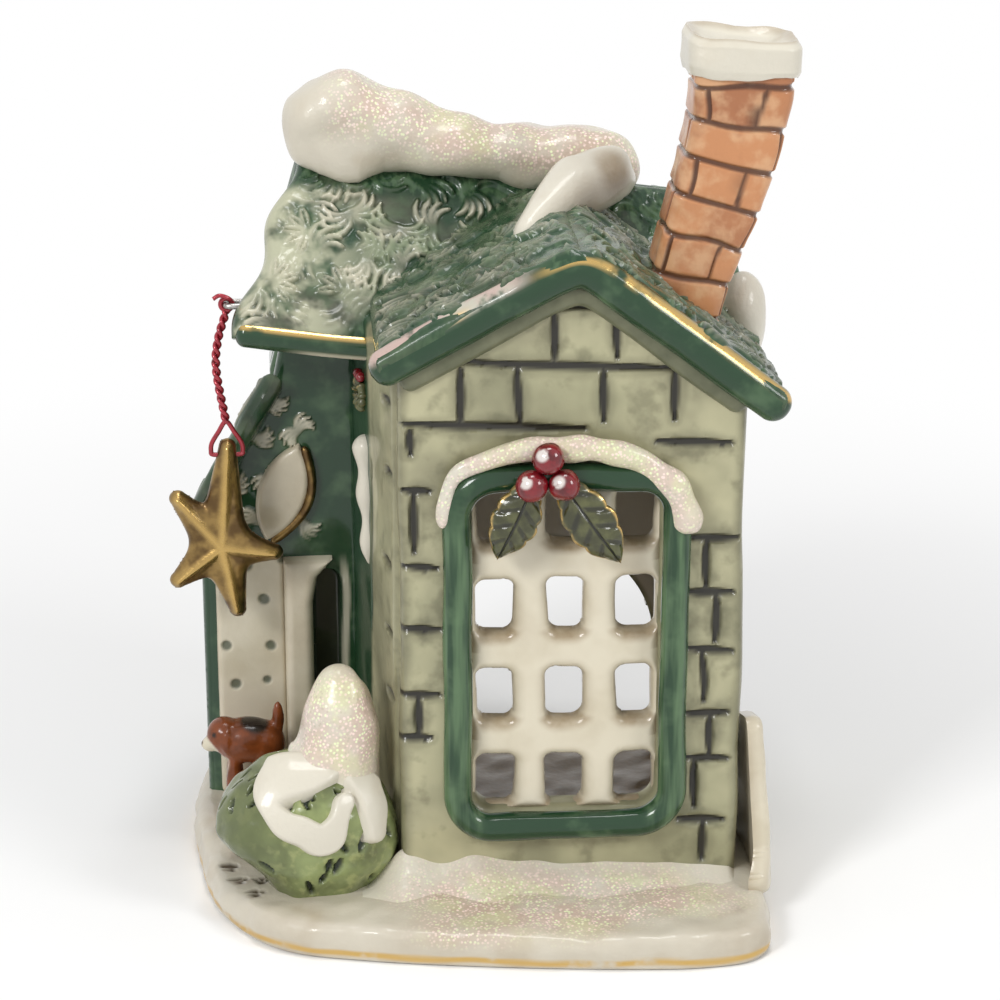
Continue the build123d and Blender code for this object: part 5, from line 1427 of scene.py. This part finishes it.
class VILLAGE_OT_roof_snow(bpy.types.Operator):
    """Models the snow along the ridges and at the right verge"""

    bl_idname = "village.roof_snow"
    bl_label = "Roof Snow"

    def ridge(self):
        """Ovals along the main ridge: stations of x, rise and share of the width, with lumps and drips."""
        stations = np.array((
            (-32.6, 10.5, 0.5),
            (-29.6, 11.0, 0.78),
            (-21.5, 15.0, 1.0),
            (-11.0, 12.5, 0.95),
            (2.0, 9.0, 0.9),
            (15.0, 9.0, 0.85),
            (26.0, 10.5, 0.8),
            (32.0, 8.0, 0.6),
            (35.0, 6.5, 0.45),
        ))
        line = curve(stations, 260)
        angle = np.linspace(0.0, 2.0 * pi, 72, endpoint=False)
        x, rise, share = (line[:, k][:, None] for k in range(3))
        low = 3.4 * share
        half = (rise + low) / 2
        tip = soft_ends(260, 0.17)[:, None]
        y = MAIN_RIDGE_Y + 8.6 * share * tip * np.cos(angle)
        z = ridge_height(x) + 2.5 + rise - half + half * tip * np.sin(angle)
        rings = np.stack([x + 0.0 * y, y, z], -1)
        drip = np.clip(uneven(rings[..., :1], 6.0, 211), 0.0, 1.0) * ease(-0.1, -0.9, np.sin(angle))
        front = ease(0.2, -0.6, np.cos(angle))
        rings[..., 1] -= 1.8 * drip * front
        rings[..., 2] -= 2.0 * drip * front
        lump = 0.7 * uneven(rings, 4.2, 212) + 0.35 * uneven(rings, 2.0, 215)
        rings += (lump * tip)[..., None] * np.stack([0 * angle, np.cos(angle), np.sin(angle)], -1)
        upper = np.sin(angle) + 0.5 * uneven(rings, 5.0, 216)
        frost = ease(-0.7, 0.3, upper) * ease(0.5, -0.1, np.cos(angle)) * ease(-27.0, -19.0, x)
        smudge = 0.22 + 0.3 * ease(-20.0, -27.0, x) * ease(0.0, 0.8, uneven(rings, 4.0, 217))
        add_piece("ridge_snow", loft(rings), "snow_glaze", "main_ridge_snow", frost=frost.ravel(),
                  stain=smudge.ravel())

    def slide(self):
        """Coil down the wing's ridge: knots of place and radius, with lumps."""
        knots = np.array((
            (32.0, 23.0, 126.5, 2.5),
            (27.5, 18.0, 128.5, 5.4),
            (21.5, 11.5, 128.4, 5.6),
            (14.5, 3.0, 125.0, 3.6),
            (9.0, -5.0, 121.8, 1.8),
        ))
        line = curve(knots, 120)
        rings = coil_rings(line[:, :3], line[:, 3] * soft_ends(120, 0.1), 48, (0, 0, 1))
        rings += (0.8 * uneven(rings, 3.4, 213) + 0.35 * uneven(rings, 1.8, 218))[..., None]
        stain = ease(6.0, 2.0, np.linalg.norm(rings - (28.0, 12.0, 131.0), axis=-1))
        add_piece("wing_snow", loft(rings), "snow_glaze", "wing_ridge_snow", stain=stain.ravel())

    def verge(self):
        """Lumpy ellipsoid at the right verge."""
        rings = lobe((52.0, 7.0, 103.5), (4.6, 5.6, 9.0), 40, 56)
        rings += 0.4 * uneven(rings, 2.6, 214)[..., None]
        add_piece("verge_snow", loft(rings), "snow_glaze", "right_verge_snow")

    def execute(self, context):
        self.ridge()
        self.slide()
        self.verge()
        return {"FINISHED"}


class VILLAGE_OT_bush(bpy.types.Operator):
    """Models the clipped bush and the peak of snow that slides off it"""

    bl_idname = "village.bush"
    bl_label = "Bush"

    CENTRE = np.array((-31.0, -21.0, 15.0))
    RADII = np.array((17.0, 12.5, 16.0))
    LOOP = (
        (-27.0, 32.0, 5.0),
        (-34.2, 28.9, 3.9),
        (-37.6, 25.0, 2.5),
        (-35.2, 21.3, 2.4),
        (-31.3, 19.6, 2.8),
        (-27.9, 18.2, 3.2),
        (-25.8, 20.6, 2.5),
        (-24.6, 23.6, 2.2),
    )
    DRIP = (
        (-22.4, 32.0, 5.0),
        (-20.9, 28.4, 3.3),
        (-19.8, 24.8, 2.3),
        (-18.8, 20.5, 2.1),
        (-18.6, 17.8, 1.9),
    )

    def peak(self):
        """Peak of snow: its radius grows with the drop to the power 0.43, and it thins out on the bush."""
        angle = np.linspace(0.0, 2.0 * pi, 180, endpoint=False)
        fall = np.linspace(0.002, 1.0, 110)[:, None] ** 2
        turn = np.degrees(np.where(angle > pi, angle - 2.0 * pi, angle))
        lowest = np.interp(turn, (-180, -135, -90, -60, 0, 90, 180),
                           (27.0, 28.0, 28.5, 26.0, 23.0, 22.0, 27.0))
        z = 47.4 - (47.4 - lowest) * fall
        radius = 10.4 * ((47.4 - z) / 24.0) ** 0.43
        rings = np.stack([-24.5 + radius * np.cos(angle), -20.5 + radius * np.sin(angle), z], -1)
        rings += 0.5 * uneven(rings, 3.2, 225)[..., None] * ease(0.0, 0.1, fall)[..., None]
        way = (rings - self.CENTRE) / self.RADII
        depth = np.linalg.norm(way, axis=-1, keepdims=True)
        layer = 1.07 - 0.13 * ease(0.72, 1.0, fall)[..., None]
        onto = self.CENTRE + self.RADII * way * layer / depth
        lie = ease(0.4, 0.9, fall)[..., None]
        rings = np.where(depth < layer, onto, rings + (onto - rings) * lie)
        tuck = self.CENTRE + (rings[-1:] - self.CENTRE) * 0.85
        frost = (0.3 + 0.7 * ease(0.02, 0.2, fall)) * ease(0.95, 0.6, fall) + 0.0 * angle
        return loft(np.concatenate([rings, tuck])), frost.ravel()

    def undercut(self, rings):
        """Draws the lower left of the bush in towards its middle."""
        left = np.minimum(rings[..., 0] - self.CENTRE[0], 0.0)
        rings[..., 0] -= 0.45 * left * ease(17.0, 6.0, rings[..., 2])
        return rings

    def run_off(self):
        """Skin of snow: an ellipsoid that swells out of the bush along strokes and else lies under it."""
        rings = lobe(self.CENTRE, self.RADII, 150, 260)
        flat = rings.reshape(-1, 3)[:, [0, 2]]
        strokes = []
        widths = []
        for knots in (self.LOOP, self.DRIP):
            line = curve(knots, 60)
            strokes.append(np.hstack([line[:-1, :2], line[1:, :2]]))
            widths.append(np.column_stack([line[:-1, 2], line[1:, 2]]))
        away, along = stroke_distance(flat, np.vstack(strokes))
        first, last = np.vstack(widths).T
        away = (away - first - (last - first) * along).min(1) + 0.45 * uneven(flat, 2.2, 226)
        front = ease(2.0, -3.0, rings[..., 1] - self.CENTRE[1])
        swell = ease(0.7, -0.8, away).reshape(rings.shape[:2]) * front
        swell *= 1.0 + 0.12 * uneven(rings, 3.0, 227)
        return loft(self.undercut(self.CENTRE + (rings - self.CENTRE) * (0.85 + 0.24 * swell)[..., None]))

    def leaves(self):
        """Lumpy ellipsoid with short notches strewn over it, flat where it stands."""
        rng = np.random.default_rng(221)
        rings = lobe(self.CENTRE, self.RADII, 150, 260)
        way = (rings - self.CENTRE) / self.RADII
        flat = np.stack([np.arctan2(way[..., 1], way[..., 0]) * 14.0,
                         np.arcsin(np.clip(way[..., 2], -1, 1)) * 16.0], -1)
        flat = flat.reshape(-1, 2)
        spots = rng.uniform((-44.0, -10.0), (44.0, 22.0), (90, 2))
        tilt = rng.uniform(-0.7, 0.7, 90)
        reach = rng.uniform(1.4, 3.4, 90)[:, None]
        ends = spots + reach * np.column_stack([np.sin(tilt), np.cos(tilt)])
        notch = incised(flat, np.hstack([spots, ends]), 0.6, 222)
        notch = notch.reshape(rings.shape[:2])
        lump = 0.9 * uneven(rings, 3.0, 223) + 0.4 * uneven(rings, 1.4, 224)
        rings += way * (0.5 * lump - 1.0 * notch)[..., None]
        rings[..., 2] = np.maximum(rings[..., 2], BASE_TOP - 0.5)
        shade = 0.75 * ease(-31.0, -42.0, rings[..., 0])
        rings = self.undercut(rings)
        add_piece("clipped_bush", loft(rings), "bush_glaze", "bush", line=notch.ravel(),
                  shade=shade.ravel())

    def execute(self, context):
        self.leaves()
        peak, frost = self.peak()
        skin = join(peak, self.run_off())
        frost = np.concatenate([frost, np.zeros(len(skin[0]) - len(frost))])
        add_piece("bush_peak", skin, "snow_glaze", "bush_snow", frost=frost)
        return {"FINISHED"}


class VILLAGE_OT_puppy(bpy.types.Operator):
    """Models the puppy at the door"""

    bl_idname = "village.puppy"
    bl_label = "Puppy"

    DEPTH = 7.0
    TRUNK = (
        ((-42.0, 0.0, 21.3), (6.6, 4.5, 4.5)),
        ((-38.6, 0.0, 20.6), (3.9, 4.3, 4.5)),
        ((-46.4, 0.0, 22.6), (3.4, 3.4, 3.5)),
        ((-49.0, 0.0, 20.6), (2.0, 1.7, 1.5)),
    )
    PAIRS = (
        ((-45.8, 3.2, 22.0), (1.2, 0.9, 2.4)),
        ((-44.6, 2.4, 12.5), (1.7, 1.7, 7.0)),
        ((-39.4, 2.4, 12.5), (1.9, 1.8, 7.0)),
        ((-45.2, 2.4, 7.0), (2.2, 1.8, 1.2)),
        ((-40.0, 2.4, 7.0), (2.2, 1.8, 1.2)),
    )
    TAIL = ((-36.0, 0.0, 25.6), (1.2, 1.2, 3.6))

    def blend(self, context):
        """Skin of trunk, head, ears, legs, paws and tail: ellipsoids joined by a voxel remesh."""
        lobes = list(self.TRUNK)
        for (x, aside, z), radii in self.PAIRS:
            lobes += [((x, side * aside, z), radii) for side in (-1.0, 1.0)]
        lobes.append(self.TAIL)
        shift = np.array((0.0, self.DEPTH, 0.0))
        skins = [loft(lobe(shift + centre, radii)) for centre, radii in lobes]
        mesh = skin_mesh("puppy_lobes", *join(*skins))
        rough = bpy.data.objects.new("puppy_lobes", mesh)
        context.scene.collection.objects.link(rough)
        remesh = rough.modifiers.new("blend", "REMESH")
        remesh.mode = "VOXEL"
        remesh.voxel_size = 0.42 * MM
        relax = rough.modifiers.new("relax", "SMOOTH")
        relax.factor = 0.5
        relax.iterations = 6
        context.view_layer.update()
        done = rough.evaluated_get(context.evaluated_depsgraph_get()).to_mesh()
        points = np.zeros(3 * len(done.vertices))
        done.vertices.foreach_get("co", points)
        corners = np.zeros(len(done.loops), int)
        done.loops.foreach_get("vertex_index", corners)
        bpy.data.objects.remove(rough)
        bpy.data.meshes.remove(mesh)
        return points.reshape(-1, 3) / MM, [corners.reshape(-1, 4)]

    def execute(self, context):
        skin = self.blend(context)

        def spot(x, y, z, outer, inner):
            away = np.linalg.norm(skin[0] - (x, self.DEPTH + y, z), axis=1)
            return ease(outer, inner, away)

        muzzle = spot(-49.4, -0.4, 20.2, 2.6, 1.8)
        chest = spot(-46.0, -1.0, 17.0, 2.6, 1.4)
        back = spot(-40.5, -1.0, 25.4, 3.4, 2.2)
        nose = spot(-51.0, -0.2, 21.0, 0.8, 0.4)
        eye = spot(-48.2, -2.4, 23.4, 0.65, 0.4)
        add_piece("door_puppy", skin, "puppy_glaze", "puppy", line=np.maximum.reduce([back, nose, eye]),
                  relief=np.maximum(muzzle, 0.7 * chest) * (1.0 - nose))
        return {"FINISHED"}


class VILLAGE_OT_garden_panel(bpy.types.Operator):
    """Models the low garden panel at the right wall"""

    bl_idname = "village.garden_panel"
    bl_label = "Garden Panel"

    def execute(self, context):
        flare, lean = radians(3.0), radians(4.0)
        run = np.array((sin(flare), -cos(flare), 0.0))
        level = np.array((cos(flare), sin(flare), 0.0))
        up = np.array((0.0, 0.0, cos(lean))) - level * sin(lean)
        out = np.cross(up, run)
        origin = np.array((RIGHT_X + 31.0 * tan(lean), 0.0, BASE_TOP)) + 3.2 * out
        corners = ((2.4, 1.0), (32.0, 1.0), (26.5, 4.5), (24.4, 14.0), (24.4, 28.2), (18.0, 26.4),
                   (9.0, 19.6), (2.4, 15.6))
        skin = slab(lambda f: polygon_distance(f, corners) - 2.5, (-1.5, -3), (36.0, 32.5), 0.35,
                    facing(origin, run, out, up), 3.2, 1.4, lambda f: 0.3 * uneven(f, 3.4, 231))
        skin[0][:, 0] -= 0.03 * np.maximum(-skin[0][:, 1] - 25.0, 0.0) ** 2
        # painted shade: the back face, turned to the house wall across a narrow gap, gets about twice the
        # brown of the front; the random brown on both faces is a wash
        stain = np.concatenate([0.25 + 0.2 * uneven(skin[2], 5.0, 232),
                                0.55 + 0.3 * uneven(skin[2], 5.0, 233)])
        add_piece("low_panel", skin, "cream_glaze", "garden_panel", stain=np.clip(stain, 0.0, 1.0))
        return {"FINISHED"}


class VILLAGE_OT_star(bpy.types.Operator):
    """Models the staple in the roof, the twisted wire hanger and the puffy gold star"""

    bl_idname = "village.star"
    bl_label = "Hanging Star"

    ARMS = np.array(((85.2, 21.4), (-9.4, 11.9), (-78.4, 15.0), (219.1, 12.6), (130.0, 14.2)))

    def staple(self):
        """Bent wire: two legs into the roof and a bridge between them."""
        knots = ((6.5, -1.6), (3.5, -1.6), (0.9, -1.6), (0.0, -1.0), (0.0, 1.0), (0.9, 1.6), (3.5, 1.6),
                 (6.5, 1.6))
        line = curve(knots, 120)
        path = STAPLE + np.column_stack([line, 0.0 * line[:, 0]])
        add_piece("staple", coil(path, 0.55, 20, (0, 0, 1)), "staple_metal", "roof_staple")

    def hanger(self, pitch):
        """Ring on the staple, two wires wound round a bent line, a loop through the star and a short tail."""
        angle = np.linspace(0.0, 2.0 * pi, 72, endpoint=False)
        ring = STAPLE + 1.1 * np.column_stack([np.cos(angle), 0.0 * angle, np.sin(angle)])
        top = STAPLE - (0.0, 0.0, 1.1)
        foot = HOLE + (0.0, 0.0, 6.4)
        drop = top - foot
        line = curve((top, foot + 0.72 * drop - (1.6, 0, 0), foot + 0.45 * drop - (1.8, 0, 0), foot), 420)
        reach = np.concatenate([[0.0], np.cumsum(np.linalg.norm(np.diff(line, axis=0), axis=1))])
        turn = 2.0 * pi * reach / pitch
        skins = [coil(ring, 0.45, 18, (0, 1, 0), closed=True)]
        for phase in (0.0, pi):
            strand = line + 0.43 * np.column_stack([np.cos(turn + phase), np.sin(turn + phase), 0.0 * turn])
            skins.append(coil(strand, 0.42, 14, (0, 1, 0)))
        bail = HOLE + np.column_stack([
            np.array((0.0, 1.5, 2.75, 2.95, 2.6, 0.0, -2.6, -2.95, -2.75, -1.5)),
            np.zeros(10),
            np.array((6.4, 4.3, 2.2, 0.7, 0.0, 0.0, 0.0, 0.7, 2.2, 4.3)),
        ])
        skins.append(coil(curve(bail, 200, True), 0.45, 18, (0, 1, 0), closed=True))
        tail = STAPLE + np.array(((1.0, 0.0, 0.3), (0.4, -0.9, 1.4), (-1.2, -1.2, 2.0), (-2.4, -1.4, 1.4)))
        skins.append(coil(curve(tail, 60), 0.4, 14, (0, 1, 0)))
        add_piece("wire_hanger", join(*skins), "red_wire", "hanger_wire", "hanger")

    def star(self):
        """Puffed star: smooth union of tapered arms, its thickness a quarter circle in from the edge."""
        angle = np.radians(self.ARMS[:, 0])
        way = np.column_stack([np.cos(angle), np.sin(angle)])
        tips = STAR + way * (self.ARMS[:, 1] - 1.9)[:, None]
        arms = np.hstack([np.tile(STAR, (5, 1)), tips])

        def outline(flat):
            away, along = stroke_distance(flat, arms)
            away = away - (5.0 - 3.1 * along)
            return -np.log(np.exp(-away / 0.7).sum(1)) * 0.7 + 0.25

        flat, inside, faces = sheet(outline, STAR - (16, 18), STAR + (16, 24), 0.26)
        away, along = stroke_distance(flat, arms)
        ridge = ease(1.5, 0.0, away).max(1)
        puff = 2.0 * np.sqrt(1.0 - (1.0 - np.clip(inside / 3.4, 0.0, 1.0)) ** 2)
        puff += 0.5 * ridge * ease(0.0, 1.6, inside)
        puff += 0.12 * uneven(flat, 2.0, 241) * ease(0.0, 1.0, inside)
        place = frontal(STAR_Y)
        skin = thick(place(flat, puff), place(flat, -puff), faces)
        # the relief mark on the arm ridges is painted bright gold by the lustre: a painted highlight
        add_piece("gold_star", skin, "gold_lustre", "hanging_star", "star", relief=ridge)

    def execute(self, context):
        self.staple()
        self.hanger(context.scene.house_sizes.wire_pitch / MM)
        self.star()
        return {"FINISHED"}


class VILLAGE_OT_stage(bpy.types.Operator):
    """Sets the pale floor, the soft lights and the camera"""

    bl_idname = "village.stage"
    bl_label = "Stage"

    AIR_LIGHT = 0.42
    AIM = (0.0, 0.0, 0.07)

    def floor(self):
        """Pale paper under the house that fades to white away from it."""
        mesh = bpy.data.meshes.new("studio_floor")
        half = 6.0
        corners = [(-half, -half, 0.0), (half, -half, 0.0), (half, half, 0.0), (-half, half, 0.0)]
        mesh.from_pydata(corners, [], [(0, 1, 2, 3)])
        g = Glaze("studio_paper")
        tone = g.mix(g.cloud(400.0), (0.93, 0.93, 0.93), (0.95, 0.95, 0.95))
        paper = g.node("ShaderNodeBsdfDiffuse", {}, {"Color": tone})
        glow = g.node("ShaderNodeEmission", {}, {"Color": (1.0, 1.0, 1.0), "Strength": 1.0})
        away = g.node("ShaderNodeVectorMath", {"operation": "LENGTH"}, {0: g.place}, "Value")
        share = g.seen() * g.step(away, 0.07, 0.34)
        white = g.node("ShaderNodeMixShader", {}, {0: share, 1: paper, 2: glow})
        g.node("ShaderNodeOutputMaterial", {}, {"Surface": white})
        mesh.materials.append(g.material)
        floor = bpy.data.objects.new("studio_floor", mesh)
        bpy.context.scene.collection.objects.link(floor)

    def lamp(self, name, place, size, power):
        """Square lamp that points at the house."""
        light = bpy.data.lights.new(name, "AREA")
        light.size = size
        light.energy = power
        lamp = bpy.data.objects.new(name, light)
        lamp.location = place
        lamp.rotation_euler = (Vector(self.AIM) - Vector(place)).to_track_quat("-Z", "Y").to_euler()
        bpy.context.scene.collection.objects.link(lamp)

    def world(self, scene):
        """White air: full where it is seen, and dimmer as light on the house."""
        scene.world = bpy.data.worlds.new("studio_air")
        air = Shading(scene.world)
        strength = self.AIR_LIGHT + (1.0 - self.AIR_LIGHT) * air.seen()
        glow = air.node("ShaderNodeBackground", {}, {"Color": (1.0, 1.0, 1.0), "Strength": strength})
        air.node("ShaderNodeOutputWorld", {}, {"Surface": glow})

    def camera(self, scene):
        """Camera in front of the house, above it and a little to the left."""
        lens = bpy.data.cameras.new("studio_camera")
        lens.lens = 107.45
        lens.sensor_width = 36.0
        camera = bpy.data.objects.new("studio_camera", lens)
        spot = Vector((-30.32, -525.2, 252.73)) * MM
        camera.location = spot
        camera.rotation_euler = (Vector((6.62, 3.0, 70.41)) * MM - spot).to_track_quat("-Z", "Y").to_euler()
        scene.collection.objects.link(camera)
        scene.camera = camera

    def execute(self, context):
        scene = context.scene
        self.floor()
        self.lamp("left_box", (-0.55, -0.62, 0.62), 0.26, 4.4)
        self.lamp("right_box", (0.66, -0.45, 0.5), 0.26, 2.2)
        self.lamp("top_box", (0.05, 0.0, 0.95), 0.3, 2.6)
        self.world(scene)
        self.camera(scene)
        scene.view_settings.view_transform = "Standard"
        return {"FINISHED"}


OPERATORS = (
    VILLAGE_OT_base,
    VILLAGE_OT_walls,
    VILLAGE_OT_porch,
    VILLAGE_OT_roofs,
    VILLAGE_OT_window,
    VILLAGE_OT_holly,
    VILLAGE_OT_chimney,
    VILLAGE_OT_roof_snow,
    VILLAGE_OT_bush,
    VILLAGE_OT_puppy,
    VILLAGE_OT_garden_panel,
    VILLAGE_OT_star,
    VILLAGE_OT_stage,
)


class VILLAGE_PT_house(bpy.types.Panel):
    """Sidebar panel of the village house"""

    bl_idname = "VILLAGE_PT_house"
    bl_label = "Village House"
    bl_space_type = "VIEW_3D"
    bl_region_type = "UI"
    bl_category = "Village House"

    def draw(self, context):
        for operator in OPERATORS:
            self.layout.operator(operator.bl_idname)
        for group in (context.scene.house_sizes, context.scene.house_colours):
            for key in group.__annotations__:
                self.layout.prop(group, key)


CLASSES = (HouseSizes, HouseColours, *OPERATORS, VILLAGE_PT_house)


def register():
    for piece in CLASSES:
        bpy.utils.register_class(piece)
    bpy.types.Scene.house_sizes = bpy.props.PointerProperty(type=HouseSizes)
    bpy.types.Scene.house_colours = bpy.props.PointerProperty(type=HouseColours)


def unregister():
    del bpy.types.Scene.house_colours
    del bpy.types.Scene.house_sizes
    for piece in reversed(CLASSES):
        bpy.utils.unregister_class(piece)


def main():
    register()
    bpy.ops.village.base()
    bpy.ops.village.walls()
    bpy.ops.village.porch()
    bpy.ops.village.roofs()
    bpy.ops.village.window()
    bpy.ops.village.holly()
    bpy.ops.village.chimney()
    bpy.ops.village.roof_snow()
    bpy.ops.village.bush()
    bpy.ops.village.puppy()
    bpy.ops.village.garden_panel()
    bpy.ops.village.star()
    bpy.ops.village.stage()


if __name__ == "__main__":
    main()
